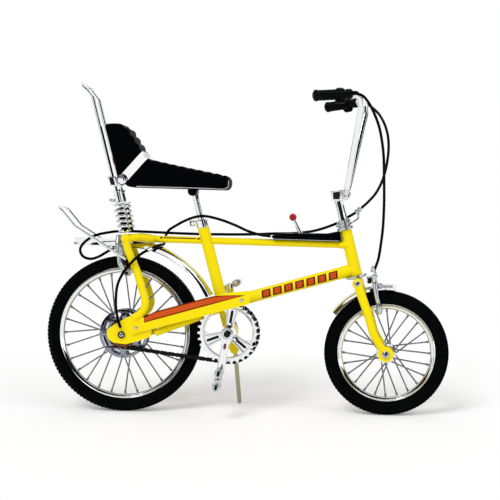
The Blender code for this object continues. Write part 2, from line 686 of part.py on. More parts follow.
def rear_brake(group, alloy):
    """Caliper arms behind the stays, bolted to the bridge."""
    x, z, top = 0.7, REAR_AXLE[1] + 16.4, BRIDGE_Z + 0.3
    arm = [(x, 2.7, z), (-0.9, 3.85, z + 2.8), (-1.6, 3.85, top - 2.2), (-1.6, 2.9, top), (-1.6, 0, top)]
    arch = rounded(arm + [(px, -py, pz) for px, py, pz in reversed(arm[:-1])], 1.0, 2)
    bridge_face = STAY_CORNER[0] - BRIDGE_RADIUS - GAP
    bolt = tube([(-1.6, 0, BRIDGE_Z + 0.1), (bridge_face, 0, BRIDGE_Z + 0.1)], 0.35, 8)
    pads = [tube([(x, s * 1.75, z), (x, s * 2.9, z)], 0.65, 8) for s in (1, -1)]
    add("rear_brake", group, alloy, [tube(arch, 0.5, 6), bolt, *pads])


def rear_rack(group, chrome):
    """A wire hoop from both stays, up and back, with a turned-up end."""
    y = 4.9
    side = [(1.0, y, 41.9), (-13.2, y, 50.9), (-17.6, y, 56.2)]
    hoop = rounded(side + [(px, -py, z) for px, py, z in reversed(side)], 1.6, 3)
    add("rear_rack", group, chrome, [tube(hoop, 0.4, 8)])


# Seat

def saddle(group, leather):
    """A banana seat with a padded back. The front outline carries the sewn rolls."""
    front = rounded(plane_points([(-1.6, 78.8), (1.1, 77.3), (6.6, 68.9), (14.0, 67.3), (27.8, 64.5),
                                  (29.1, 63.6)]), 1.8, 3)
    lengths = [0.0]
    for a, b in zip(front, front[1:]):
        lengths.append(lengths[-1] + (b - a).length)
    count = round(lengths[-1] / ROLL_PITCH)
    steps = count * 3
    top = []
    for i in range(steps + 1):
        at = lengths[-1] * i / steps
        k = max(j for j in range(len(front) - 1) if lengths[j] <= at)
        point = front[k].lerp(front[k + 1], (at - lengths[k]) / (lengths[k + 1] - lengths[k]))
        top.append((point.x, point.z, ROLL_HEIGHT * abs(math.sin(math.pi * i / 3))))
    under = [(29.1, 61.9, 0), (28.2, 61.0, 0), (20.2, 61.2, 0), (10.0, 61.5, 0), (1.5, 61.7, 0),
             (-1.3, 64.9, 0), (-3.1, 71.5, 0), (-4.9, 78.2, 0), (-4.2, 78.7, 0)]
    outline = top + under
    # Columns: share of the half width, inset of the outline, share of the roll height
    stations = [(1.0, 1.3, 0.0), (0.93, 0.35, 0.7), (0.8, 0.05, 1.0), (0.0, 0.0, 1.0)]
    stations += [(-share, inset, roll) for share, inset, roll in reversed(stations[:-1])]
    normals = []
    for i, (x, z, _) in enumerate(outline):
        (x0, z0, _), (x1, z1, _) = outline[i - 1], outline[(i + 1) % len(outline)]
        normals.append(Vector((z0 - z1, 0, x1 - x0)).normalized())
    rings = []
    for share, inset, roll in stations:
        ring = []
        for (x, z, bump), normal in zip(outline, normals):
            narrow = 1.0 - 0.2 * min(1.0, max(0.0, (x - 6.0) / 22.0))
            ring.append(Vector((x, share * SADDLE_HALF * narrow, z)) - normal * (inset - bump * roll))
        rings.append(ring)
    across = Vector((0, 3, 0))
    lug_cut = tube([SEAT_LUG - across, SEAT_LUG + across], SEAT_LUG_RADIUS + GAP, 16)
    add("saddle", group, leather, [loft(rings)], [lug_cut])


def seat_post(group, chrome, black):
    top = Vector((SEAT_TUBE_TOP[0], 0, SEAT_TUBE_TOP[1]))
    along = (top - seat_tube_at(40)).normalized()
    post_top = SEAT_LUG - along * (SEAT_LUG_RADIUS + GAP)
    add("seat_post", group, chrome, [tube([seat_tube_at(44.5), post_top], SEAT_POST_RADIUS, 16)])
    across = Vector((0, 2.6, 0))
    add("seat_lug", group, black, [tube([SEAT_LUG - across, SEAT_LUG + across], SEAT_LUG_RADIUS, 16)])
    low, high = top + along * GAP, top + along * 2.2
    bolt_at = top + along * 1.2
    bolt = tube([bolt_at + Vector((-1.2, 0, 0)), bolt_at + Vector((-3.4, 0, -0.4))], 0.7, 10)
    add("seat_clamp", group, chrome, [tube([low, high], 1.75, 20), bolt],
        [tube([low - along, high + along], SEAT_POST_RADIUS + GAP, 16)])


def sissy_bar(group, chrome):
    """The tall hoop behind the seat. Its legs run down through the springs to the stays."""
    left = plane_points(HOOP_LEG, HOOP_HALF)
    hoop = rounded(left + plane_points(reversed(HOOP_LEG), -HOOP_HALF), 2.4, 3)
    add("sissy_bar", group, chrome, [tube(hoop, HOOP_RADIUS, 8)])
    spring_axis = (left[1] - left[0]).normalized()
    ahead = spring_axis.cross(Vector((0, -1, 0)))
    for side, s in (("left", 1), ("right", -1)):
        leg = plane_points(HOOP_LEG, s * HOOP_HALF)
        foot = leg[0] + spring_axis * 0.4
        path = []
        steps = SPRING_TURNS * 8
        for i in range(steps + 1):
            a = 2 * math.pi * i / 8
            path.append(foot + spring_axis * SPRING_LENGTH * i / steps
                        + ahead * SPRING_RADIUS * math.cos(a) + Vector((0, SPRING_RADIUS * math.sin(a), 0)))
        add("spring_" + side, group, chrome, [sweep(path, circle(SPRING_WIRE, 5), tuple(spring_axis))])
        low, high = sorted((s * (HOOP_HALF - 1.0), s * (HOOP_HALF + 1.0)))
        block = plate([(-3.55, 61.9), (-1.35, 61.9), (-2.0, 64.4), (-4.2, 64.4)], low, high)
        leg_hole = tube(rounded(leg, 2.4, 4), HOOP_RADIUS + GAP, 10)
        add("hoop_clamp_" + side, group, chrome, [block], [leg_hole])


def reflector(group, red):
    back = Vector((-0.967, 0, -0.254))
    seat_back = Vector((-2.46, 0, 69.0))
    add("reflector", group, red, [tube([seat_back + back * GAP, seat_back + back * 0.9], 1.5, 16)])


# Console, cables

def gear_console(group, black, red):
    """The shift console on the top tube, cut to the head tube in front, with its stick."""
    # Rows: x, height over the top tube's middle line
    low = TOP_TUBE_RADIUS + GAP
    rows = [(41.0, low), (60.4, low), (60.4, 3.7), (56.1, 3.0), (42.5, 2.68), (40.35, 1.83)]
    head_cut = tube([on_head(-1), on_head(8)], HEAD_RADIUS + GAP, 20)
    race_cut = tube([on_head(0), on_head(-3)], HEADSET_UPPER_RADIUS + GAP, 16)
    foot = Vector((48.6, 0, top_tube_z(48.6) + 1.5))
    top = Vector((46.2, 0, top_tube_z(46.2) + 7.1))
    slot = tube([foot, foot.lerp(top, 0.5)], 0.55 + GAP, 12)
    add("gear_console", group, black, [plate([(x, top_tube_z(x) + rise) for x, rise in rows], -2.2, 2.2)],
        [head_cut, race_cut, slot])
    stick = tube([foot.lerp(top, 0.12), top], 0.55, 10, 0.4)
    knob_rows = [(-0.95, 0.35), (-0.6, 0.8), (0, 1.0), (0.6, 0.8), (0.95, 0.35)]
    along = (top - foot).normalized()
    knob = sweep([top + along * d for d, _ in knob_rows], [circle(r, 12) for _, r in knob_rows])
    add("gear_lever", group, red, [stick, knob])


# Points that the cables pass through. The two on the steering are measured from the head tube's top,
# and the front one's lower end from the crown
FRONT_CABLE = [(3.3, -18.2, 35.9), (5.2, -17.5, 35.2), (6.8, -16.2, 33.3), (8.1, -14.2, 30.7),
               (9.2, -12.2, 27.7), (9.9, -10.2, 24.3), (10.4, -8.2, 19.8), (10.5, -5.9, 13.9),
               (10.5, -4, 7.4), (10.2, -2.3, 0.9)]
FRONT_CABLE_END = [(6.07, -1.2, 10.27), (5.47, -0.6, 6.67), (4.77, -0.2, 4.57), (4.27, 0, 2.97)]
STEERED_CABLE = [(3.3, 18.2, 35.9), (5.7, 17.4, 34.9), (8.1, 15.8, 32.7), (9.7, 14.4, 30.1),
                 (10.8, 13, 26.9), (11.2, 11.4, 23.1), (10.8, 9.4, 18.3), (9.7, 7.4, 13.8), (8, 5.2, 10.2),
                 (5.9, 3.1, 7.7), (4.2, 1.9, 6.1)]
# The other two are given by x, y and their height over the top tube's line
REAR_CABLE = [(61.6, 2.6, 7.82), (58, 3.3, 5.74), (54, 3.3, 4.15), (50.7, 3.1, 3.27), (46, 3, 2.66),
              (41, 2.8, 2.45), (36, 1.8, 2.13), (30, 1.7, 1.89), (26, 2.2, 1.8), (21.5, 2.3, 1.7),
              (17.7, 1.7, 1.71), (12, 1.2, 1.78), (5, 0.8, 1.92), (1, 0, 1.92), (-2.2, -1.2, 1.8),
              (-5.2, -2.4, 1.28), (-7.6, -3.3, 0.624), (-9.8, -3.75, -0.626), (-11.4, -3.8, -2.26),
              (-11.9, -3.8, -3.67), (-11.1, -3.8, -5.26), (-9.1, -3.8, -5.91), (-6.8, -3.8, -5.26),
              (-4.4, -3.85, -3.8), (-2.5, -3.85, -2.76)]
GEAR_CABLE = [(40.2, -1.2, 1.729), (37.3, -1.5, 2.062), (34, -1.8, 2.985), (30.5, -2.2, 4.505),
              (26.4, -2.5, 5.81), (22.3, -2.5, 6.415), (18.5, -1, 6.227), (15, 0.8, 4.947),
              (12.7, 1.9, 2.893), (11.8, 2.1, 0.8726), (11.5, 1.5, -0.7343), (11.2, 0, -1.521),
              (10.5, -1.3, -1.507), (9.5, -2.5, -1.781), (8.2, -3.5, -2.311), (6.8, -4.7, -3.043),
              (4.6, -6.3, -4.594), (2.3, -6.5, -6.947), (0.3, -6.5, -9.593), (-1.2, -6.45, -13.23),
              (-1.5, -6.45, -18.23), (-0.9, -6.45, -22.22), (-0.2, -6.4, -24.3)]


def cables(root, steering, rubber):
    front = [HEAD + Vector(p) for p in FRONT_CABLE] + [CROWN + Vector(p) for p in FRONT_CABLE_END]
    add_cable("front_brake_cable", steering, rubber, front)
    add_cable("steered_cable", steering, rubber, [HEAD + Vector(p) for p in STEERED_CABLE])
    through_eye = [HANGER_EYE + Vector((0.4, -0.05, 0.35)), HANGER_EYE + Vector((-0.5, 0.07, -0.43))]
    rear, gear = [[Vector((x, y, top_tube_z(x) + rise)) for x, y, rise in rows]
                  for rows in (REAR_CABLE, GEAR_CABLE)]
    add_cable("rear_brake_cable", root, rubber, through_eye + rear)
    add_cable("gear_cable", root, rubber, gear)


# Drive

def chain_run(inner_shift):
    """The chain's loop round both wheels, as (x, z, outward) rows, at a distance from its middle line."""
    small = SPROCKET_RADIUS - CHAIN_DEPTH / 2 + inner_shift
    large = CHAINRING_RADIUS - CHAIN_DEPTH / 2 + inner_shift
    rear, front = Vector((0, REAR_RADIUS)), Vector(BRACKET)
    line = front - rear
    tilt = math.atan2(line.y, line.x)
    spread = math.acos((small - large) / line.length)
    points = []
    for i in range(15):
        a = tilt - spread + 2 * spread * i / 14
        points.append(front + large * Vector((math.cos(a), math.sin(a))))
    straight_count = 26
    top_rear = rear + small * Vector((math.cos(tilt + spread), math.sin(tilt + spread)))
    top_front = points[-1]
    points += [top_front.lerp(top_rear, i / straight_count) for i in range(1, straight_count)]
    for i in range(9):
        a = tilt + spread + (2 * math.pi - 2 * spread) * i / 8
        points.append(rear + small * Vector((math.cos(a), math.sin(a))))
    low_rear, low_front = points[-1], points[0]
    points += [low_rear.lerp(low_front, i / straight_count) for i in range(1, straight_count)]
    return [(p.x, p.y) for p in points]


def chain(group, black):
    """One fixed loop. Every second station is waisted, which gives the links their outline."""
    path = [Vector((x, -CHAIN_LINE, z)) for x, z in chain_run(0.0)]
    half = CHAIN_WIDTH / 2
    sections = []
    for i in range(len(path)):
        deep = CHAIN_DEPTH / 2 * (1.0 if i % 2 == 0 else 0.72)
        sections.append([(-half, -deep), (half, -deep), (half, deep), (-half, deep)])
    add("chain", group, black, [sweep(path, sections, closed=True)])


def chainring_outline():
    points = []
    for i in range(CHAINRING_TEETH * 2):
        a = 2 * math.pi * i / (CHAINRING_TEETH * 2)
        radius = CHAINRING_RADIUS if i % 2 else CHAINRING_RADIUS - 0.7
        points.append(polar(BRACKET, radius, a))
    return points


def arm_outline(direction):
    """A crank arm: a big eye at the axle, a small one at the pedal."""
    tip = polar(BRACKET, CRANK_LENGTH, direction)
    big = [polar(BRACKET, 1.75, direction + math.radians(a)) for a in range(80, 281, 25)]
    small = [polar(tip, 1.1, direction + math.radians(a)) for a in range(-84, 85, 24)]
    return big + small


def crank(group, chrome):
    ring_face = CHAIN_LINE + CHAIN_WIDTH / 2 + GAP
    ring_outer = ring_face + 0.55
    shoulder_radius = CHAINRING_RADIUS - CHAIN_DEPTH - GAP
    window_limit = 6.5
    ring = plate(chainring_outline(), -ring_outer, -ring_face)
    shoulder = tube(across_bracket(-ring_face - 0.2, -CHAIN_LINE + CHAIN_WIDTH / 2), shoulder_radius, 24)
    hub = tube(across_bracket(-CRANK_INNER - 0.2, -ring_face - 0.2), 1.9, 24)
    axle = tube(across_bracket(-CRANK_INNER - 0.2, CRANK_INNER + 0.2), CRANK_AXLE_RADIUS, 16)
    arms, eyes = [], []
    for s, direction in ((-1, RIGHT_CRANK_ANGLE), (1, LEFT_CRANK_ANGLE)):
        low, high = sorted((s * CRANK_INNER, s * (CRANK_INNER + CRANK_THICKNESS)))
        arms.append(plate(arm_outline(direction), low, high))
        x, z = polar(BRACKET, CRANK_LENGTH, direction)
        eyes.append(tube([(x, low - 1, z), (x, high + 1, z)], PEDAL_PIN + GAP, 12))
    windows = []
    for i in range(3):
        middle = polar(BRACKET, 5.7, RIGHT_CRANK_ANGLE + math.radians(120 * i))
        outline = []
        for j in range(14):
            x, z = polar(middle, 4.0, 2 * math.pi * j / 14)
            reach = math.hypot(x - BRACKET[0], z - BRACKET[1])
            shrink = min(1.0, window_limit / reach)
            outline.append((BRACKET[0] + (x - BRACKET[0]) * shrink, BRACKET[1] + (z - BRACKET[1]) * shrink))
        windows.append(plate(outline, -ring_outer - 0.3, -CHAIN_LINE + CHAIN_WIDTH / 2 + 0.3))
    wheel = add("crank", group, chrome, [ring, shoulder], windows)
    for solid in (hub, axle, *arms):
        combine(wheel, solid, group, "UNION")
    for eye in eyes:
        combine(wheel, eye, group, "DIFFERENCE")


def pedals(crank_group, chrome):
    """Two round-ended blocks on a barrel. The right pedal hangs in line with its arm."""
    for side, s, direction, turn in (("right", -1, RIGHT_CRANK_ANGLE, RIGHT_CRANK_ANGLE),
                                     ("left", 1, LEFT_CRANK_ANGLE, LEFT_PEDAL_TURN)):
        x, z = polar(BRACKET, CRANK_LENGTH, direction)
        group = Group("pedal_axis_" + side, (x, 0, z), crank_group)
        near, far = s * PEDAL_INNER, s * (PEDAL_INNER + PEDAL_WIDTH)
        offset = (PEDAL_LENGTH - PEDAL_BLOCK) / 2
        blocks = [plate(slot_outline(polar((x, z), end * offset, turn), turn, PEDAL_BLOCK, PEDAL_DEPTH, 4),
                        *sorted((near, far))) for end in (1, -1)]
        barrel = tube([(x, near, z), (x, far, z)], PEDAL_BARREL_RADIUS, 12)
        pin = tube([(x, s * (CRANK_INNER + 0.1), z), (x, near + s * 0.5, z)], PEDAL_PIN, 12)
        add("pedal_" + side, group, chrome, [barrel, *blocks, pin])


def chain_guard(group, paint):
    """A flat plate over the chain's upper run, on a post from the down tube and on the right dropout."""
    outline = [(2.9, 21.6), (3.9, 24.7), (6.5, 26.4), (16.0, 29.5), (26.0, 32.5), (30.4, 33.3), (34.6, 33.7),
               (35.0, 33.3), (35.0, 30.6), (34.6, 30.1), (21.5, 26.5)]
    rear_leg = tube([(6.6, -STAY_LOW_HALF, 29.3), (5.4, -STAY_LOW_HALF, 27.3), (3.3, -STAY_LOW_HALF, 25.9)],
                    STAY_RADIUS + GAP + 0.1, 12)
    post_z = down_tube_z(32.8)
    post = tube([(32.8, y, post_z) for y in (-CHAIN_GUARD_INNER - 0.2, -DOWN_TUBE_RADIUS + 0.4)], 0.55, 12)
    down_cut = tube([DOWN_TUBE_FRONT, DOWN_TUBE_REAR], DOWN_TUBE_RADIUS + GAP, 20)
    add("chain_guard", group, paint, [plate(outline, -CHAIN_GUARD_OUTER, -CHAIN_GUARD_INNER), post],
        [rear_leg, down_cut])


# Side stand

def side_stand(root, paint, steel):
    """A plain rod on a slanted hinge pin under the bottom bracket. It swings back and up."""
    pivot = Vector(STAND_PIVOT)
    group = Group("stand_hinge", STAND_PIVOT, root)
    foot_y = (STAND_FOOT_Y - STAND_RADIUS * math.sin(LEAN)) * math.cos(LEAN)
    tip = Vector((STAND_FOOT_X, foot_y, (STAND_RADIUS + foot_y * math.sin(LEAN)) / math.cos(LEAN)))
    leg = (tip - pivot).normalized()
    hinge = leg.cross(Vector((-1, 0, 0))).normalized()
    length = (tip - pivot).length
    # Rows: distance past the tip's centre, radius, which round the foot off
    rounding = [(STAND_RADIUS * math.sin(a), STAND_RADIUS * math.cos(a)) for a in (0.0, 0.5, 1.0, 1.4)]
    path = [pivot] + [pivot + leg * (length + d) for d, _ in rounding]
    rod = sweep(path, [circle(STAND_RADIUS, 12)] + [circle(r, 12) for _, r in rounding])
    knuckle = tube([pivot, pivot + hinge * 1.4], 0.95, 16)
    pin_hole = tube([pivot - hinge, pivot + hinge * 2.4], 0.35 + GAP, 12)
    add("side_stand", group, steel, [knuckle, rod], [pin_hole])
    x, z = BRACKET
    web = plate([(x - 1.2, z - 1.2), (x + 2.4, z - 1.4), (31.8, 17.6), (31.0, 16.0), (29.5, 16.0),
                 (28.6, 17.6)], 1.0, 2.3)
    shell_cut = tube([(x, -SHELL_HALF, z), (x, SHELL_HALF + 1, z)], SHELL_RADIUS + GAP, 24)
    pin = tube([pivot - hinge * 1.2, pivot + hinge * 1.7], 0.35, 12)
    add("stand_bracket", root, paint, [web, pin], [shell_cut])


# Build

def build():
    clear_scene()
    paint = material("yellow_enamel", (0.93, 0.72, 0.0), 0.25, 0.0)
    chrome = material("chrome_plate", (0.75, 0.76, 0.78), 0.12, 1.0)
    steel = material("grey_steel", (0.42, 0.42, 0.34), 0.4, 1.0)
    rubber = material("black_rubber", (0.012, 0.012, 0.013), 0.6, 0.0)
    black = material("black_plastic", (0.015, 0.015, 0.016), 0.35, 0.0)
    red = material("red_plastic", (0.6, 0.02, 0.02), 0.3, 0.0)
    root = Group("bicycle", (0, 0, 0))
    root.empty.location = (-ORIGIN_X * MM, -ORIGIN_Y * MM, 0)
    root.empty.rotation_euler = (-LEAN, 0, 0)
    rear = Group("rear_axle", (0, 0, REAR_RADIUS), root)
    steering = Group("steering_axis", HEAD, root, Matrix.Rotation(-STEER_REST, 3, UP_AXIS))
    front = Group("front_axle", (WHEELBASE, 0, FRONT_RADIUS), steering)
    crank_axis = Group("crank_axis", (BRACKET[0], 0, BRACKET[1]), root)
    tyre("rear_tyre", rear, rubber, REAR_AXLE, REAR_RADIUS, REAR_TYRE_HEIGHT, REAR_TYRE_WIDTH)
    tyre("front_tyre", front, rubber, FRONT_AXLE, FRONT_RADIUS, FRONT_TYRE_HEIGHT, FRONT_TYRE_WIDTH)
    rear_wheel(rear, chrome)
    front_wheel(front, chrome)
    main_tubes(root, paint)
    stays(root, paint)
    stay_bridge(root, paint)
    headset(root, chrome)
    fork(steering, paint)
    stem(steering, chrome)
    handlebar(steering, chrome, rubber, black)
    front_mudguard(steering, chrome)
    front_brake(steering, chrome)
    rear_mudguard(root, chrome)
    rear_brake(root, chrome)
    rear_rack(root, chrome)
    saddle(root, black)
    seat_post(root, chrome, black)
    sissy_bar(root, chrome)
    reflector(root, red)
    gear_console(root, black, red)
    cables(root, steering, rubber)
    chain(root, black)
    crank(crank_axis, chrome)
    pedals(crank_axis, chrome)
    chain_guard(root, paint)
    side_stand(root, paint, steel)


build()
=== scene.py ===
"""Looks of the chopper bicycle display model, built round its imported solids.

Lengths are millimetres of the upright bicycle: X forward, Y to its left, Z up from the ground
under the rear tyre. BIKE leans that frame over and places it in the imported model's own frame,
and STEERED also turns it with the handlebar.
"""
import math

import bmesh
import bpy
from mathutils import Matrix, Vector


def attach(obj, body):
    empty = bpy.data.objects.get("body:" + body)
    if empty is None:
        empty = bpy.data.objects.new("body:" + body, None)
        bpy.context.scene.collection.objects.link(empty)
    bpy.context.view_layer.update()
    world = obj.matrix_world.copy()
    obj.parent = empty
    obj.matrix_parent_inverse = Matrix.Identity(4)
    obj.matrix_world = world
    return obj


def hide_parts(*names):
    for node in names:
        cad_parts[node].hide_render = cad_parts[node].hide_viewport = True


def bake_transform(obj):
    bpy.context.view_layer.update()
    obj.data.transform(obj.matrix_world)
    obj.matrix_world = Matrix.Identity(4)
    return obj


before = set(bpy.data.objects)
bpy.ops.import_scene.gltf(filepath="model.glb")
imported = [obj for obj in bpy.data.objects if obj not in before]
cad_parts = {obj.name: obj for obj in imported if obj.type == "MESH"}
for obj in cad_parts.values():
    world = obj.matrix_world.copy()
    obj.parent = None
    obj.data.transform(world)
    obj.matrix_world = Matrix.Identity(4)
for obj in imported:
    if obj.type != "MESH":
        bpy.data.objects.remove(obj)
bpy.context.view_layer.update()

MM = 0.001

# Stance, the same as the solids'
LEAN = math.radians(5.0)
STEER_REST = math.radians(3.0)
ORIGIN_X = 33.7
ORIGIN_Y = 7.25
GAP = 0.1
SKIN = 0.03

# Wheels
WHEELBASE = 71.9
REAR_RADIUS = 21.4
FRONT_RADIUS = 16.9
REAR_AXLE = (0.0, REAR_RADIUS)
FRONT_AXLE = (WHEELBASE, FRONT_RADIUS)
REAR_TYRE_HEIGHT = 3.3
FRONT_TYRE_HEIGHT = 3.6
REAR_TYRE_WIDTH = 4.4
FRONT_TYRE_WIDTH = 4.0
TREAD_HEIGHT = 0.07
REAR_SPOKES = 28
FRONT_SPOKES = 24
REAR_TREAD_BLOCKS = 120
FRONT_TREAD_BLOCKS = 96
SPOKE_RADIUS = 0.21
SPOKE_END_DEPTH = 0.9

# Frame and steering
HEAD = Vector((60.6, 0.0, 50.2))
HEAD_RAKE = math.radians(13.8)
UP_AXIS = Vector((-math.sin(HEAD_RAKE), 0.0, math.cos(HEAD_RAKE)))
HEAD_LENGTH = 12.5
DOWN_TUBE = (Vector((62.3, 0.0, 39.3)), Vector((27.2, 0.0, 29.6)))
DOWN_TUBE_RADIUS = 1.65
TOP_TUBE_RADIUS = 0.95
TOP_TUBE_FRONT_Z = 46.2
TOP_TUBE_REAR_Z = 47.6
BAR_RADIUS = 0.85
BAR_CLAMP = (60.55, 59.8)
GRIP_START = HEAD + Vector((2.2, 16.65, 35.8))
BAR_END = HEAD + Vector((-6.3, 22.6, 35.0))
HANGER_EYE = HEAD + Vector((3.4, 2.0, 5.4))

# Drive
BRACKET = (29.1, 22.1)
CHAIN_LINE = 3.85
CHAIN_LINKS = 90
SPROCKET_RADIUS = 4.0
SPROCKET_FACES = (-4.85, -4.3)
CHAINRING_RADIUS = 8.5
CHAIN_DEPTH = 0.95
CRANK_LENGTH = 12.0
RIGHT_CRANK_ANGLE = math.radians(-100.0)
LEFT_CRANK_ANGLE = math.radians(94.0)
LEFT_PEDAL_TURN = math.radians(28.0)
CRANK_INNER = 8.0
CRANK_THICKNESS = 1.1
PEDAL_INNER = 9.8
PEDAL_WIDTH = 5.2
PEDAL_LENGTH = 6.4
PEDAL_BLOCK = 2.7
PEDAL_DEPTH = 2.1
CHAIN_GUARD_FACE = -6.55

# Seat
SADDLE_HALF = 6.4
POST_RADIUS = 0.95
ROLL_PITCH = 2.45
ROLL_HEIGHT = 0.45
SEAT_BAND = Vector((3.3, 0.0, 67.05))
SEAT_BAND_ACROSS = Vector((0.743, 0.0, -0.669))
SEAT_BAND_HALF = 1.2
HOOP_HALF = 4.6
HOOP_RADIUS = 0.55
HOOP_LEG = [(0.75, 49.2), (-0.9, 56.8), (-2.0, 61.0), (-3.2, 65.2), (-8.4, 86.0), (-11.4, 89.8)]
SPRING_FOOT_RADIUS = 1.4
SPRING_TOP_RADIUS = 1.65
SPRING_WIRE = 0.42
SPRING_TURNS = 5
SPRING_LENGTH = 7.0

CABLE_RADIUS = 0.38

# The photograph's view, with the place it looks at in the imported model's millimetres
VIEW_AZIMUTH = math.radians(4.17)
VIEW_ELEVATION = math.radians(6.39)
VIEW_DISTANCE = 380.0
VIEW_TARGET = Vector((1.07, -7.25, 44.85))
PICTURE_WIDTH = 500
FOCAL_PIXELS = 1400
SENSOR_WIDTH = 36.0

BIKE = (Matrix.Translation((-ORIGIN_X * MM, -ORIGIN_Y * MM, 0)) @ Matrix.Rotation(-LEAN, 4, "X")
        @ Matrix.Scale(MM, 4))
STEERED = (BIKE @ Matrix.Translation(HEAD) @ Matrix.Rotation(-STEER_REST, 4, UP_AXIS)
           @ Matrix.Translation(-HEAD))
SIDES = (("left", 1), ("right", -1))
PLACE = {"frame": BIKE, "steering": STEERED, "front_wheel": STEERED, "rear_wheel": BIKE, "crank": BIKE,
         "pedal_left": BIKE, "pedal_right": BIKE, "side_stand": BIKE}


# Shapes in bicycle millimetres

def polar(centre, radius, angle):
    """The (x, z) point at this radius and angle round a centre."""
    return (centre[0] + radius * math.cos(angle), centre[1] + radius * math.sin(angle))


def on_head(distance):
    """A point of the steering axis, this far below the head tube's top."""
    return HEAD - UP_AXIS * distance


def top_tube_z(x):
    """The height of the top tube's middle line."""
    return TOP_TUBE_REAR_Z + (TOP_TUBE_FRONT_Z - TOP_TUBE_REAR_Z) * x / HEAD.x


def rounded(points, radius, steps=8):
    """A polyline whose inner corners are arcs of about the given radius."""
    points = [Vector(p) for p in points]
    path = [points[0]]
    for before, corner, after in zip(points, points[1:], points[2:]):
        back = (before - corner).normalized()
        ahead = (after - corner).normalized()
        half = back.angle(ahead) / 2
        if half > math.radians(89.0):
            path.append(corner)
            continue
        reach = min(radius / math.tan(half), 0.48 * min((before - corner).length, (after - corner).length))
        arc_radius = reach * math.tan(half)
        centre = corner + (back + ahead).normalized() * (arc_radius / math.sin(half))
        start = corner + back * reach - centre
        normal = start.cross(corner + ahead * reach - centre).normalized()
        for step in range(steps + 1):
            turn = (math.pi - 2 * half) * step / steps
            path.append(centre + Matrix.Rotation(turn, 3, normal) @ start)
    path.append(points[-1])
    return path


def smooth(points, pitch):
    """A Catmull-Rom curve through the points, cut into steps of about one pitch."""
    points = [Vector(p) for p in points]
    padded = [2 * points[0] - points[1]] + points + [2 * points[-1] - points[-2]]
    path = [points[0]]
    for a, b, c, d in zip(padded, padded[1:], padded[2:], padded[3:]):
        steps = max(1, round((c - b).length / pitch))
        for step in range(1, steps + 1):
            t = step / steps
            path.append(0.5 * (2 * b + (c - a) * t + (2 * a - 5 * b + 4 * c - d) * t ** 2
                               + (3 * b - a - 3 * c + d) * t ** 3))
    return path


def evenly(path, pitch):
    """The same path, cut into equal steps of about one pitch."""
    lengths = [0.0]
    for a, b in zip(path, path[1:]):
        lengths.append(lengths[-1] + (b - a).length)
    steps = max(2, round(lengths[-1] / pitch))
    cut, k = [], 0
    for i in range(steps + 1):
        at = lengths[-1] * i / steps
        while k < len(path) - 2 and lengths[k + 1] < at:
            k += 1
        span = lengths[k + 1] - lengths[k]
        cut.append(path[k].lerp(path[k + 1], min(1.0, (at - lengths[k]) / span)))
    return cut


def circle(radius, sides=24):
    """A round section as a list of points."""
    return [(radius * math.cos(math.tau * i / sides), radius * math.sin(math.tau * i / sides))
            for i in range(sides)]


def skin(rings, closed=False):
    """Skin rings of points into one closed solid, joined end to end or capped."""
    shape = bmesh.new()
    rows = [[shape.verts.new(p) for p in ring] for ring in rings]
    count = len(rows[0])
    pairs = list(zip(rows, rows[1:]))
    if closed:
        pairs.append((rows[-1], rows[0]))
    for low, high in pairs:
        for i in range(count):
            j = (i + 1) % count
            shape.faces.new((low[i], low[j], high[j], high[i]))
    if not closed:
        shape.faces.new(rows[0])
        shape.faces.new(rows[-1])
    bmesh.ops.remove_doubles(shape, verts=shape.verts, dist=1e-5)
    bmesh.ops.recalc_face_normals(shape, faces=shape.faces)
    return shape


def sweep(path, sections, up=(0, 1, 0), closed=False):
    """Carry a section, or one for each point, along a path. Its first axis leans towards up."""
    if not isinstance(sections[0], list):
        sections = [sections] * len(path)
    side = Vector(up)
    rings = []
    count = len(path)
    for i, (point, section) in enumerate(zip(path, sections)):
        before = path[(i - 1) % count] if closed or i else path[i]
        after = path[(i + 1) % count] if closed or i < count - 1 else path[i]
        along = (after - before).normalized()
        side = (side - along * side.dot(along)).normalized()
        other = along.cross(side)
        rings.append([point + side * a + other * b for a, b in section])
    return skin(rings, closed)


def tube(path, radius, sides=24):
    """A round bar along a path; radius is a number, or one for each point."""
    path = [Vector(p) for p in path]
    radii = radius if isinstance(radius, list) else [radius] * len(path)
    up = (0, 1, 0) if abs((path[1] - path[0]).normalized().y) < 0.9 else (0, 0, 1)
    return sweep(path, [circle(r, sides) for r in radii], up)


def lathe(start, along, rows, sides=40):
    """Turn rows of (distance, radius) about the line from start."""
    start, along = Vector(start), Vector(along).normalized()
    return tube([start + along * distance for distance, _ in rows], [radius for _, radius in rows], sides)


def turned(profile, centre, steps=120):
    """Revolve a closed (radius, y) profile about the sideways axis through the (x, z) centre."""
    return skin([[(*polar(centre, r, math.tau * i / steps)[:1], y, polar(centre, r, math.tau * i / steps)[1])
                  for r, y in profile] for i in range(steps)], closed=True)


def joined(*shapes):
    """Several shapes as one, each still closed by itself."""
    whole = bmesh.new()
    for shape in shapes:
        part = bpy.data.meshes.new("part")
        shape.to_mesh(part)
        shape.free()
        whole.from_mesh(part)
        bpy.data.meshes.remove(part)
    return whole


def across(half):
    """A path over the bicycle's middle plane: the given half, then its mirror image back."""
    return [Vector(p) for p in half] + [Vector((x, -y, z)) for x, y, z in reversed(half) if y]


def baked(source):
    """The evaluated mesh of an object, which is then removed."""
    bpy.context.view_layer.update()
    depsgraph = bpy.context.evaluated_depsgraph_get()
    mesh = bpy.data.meshes.new_from_object(source.evaluated_get(depsgraph), depsgraph=depsgraph)
    bpy.data.objects.remove(source)
    return mesh


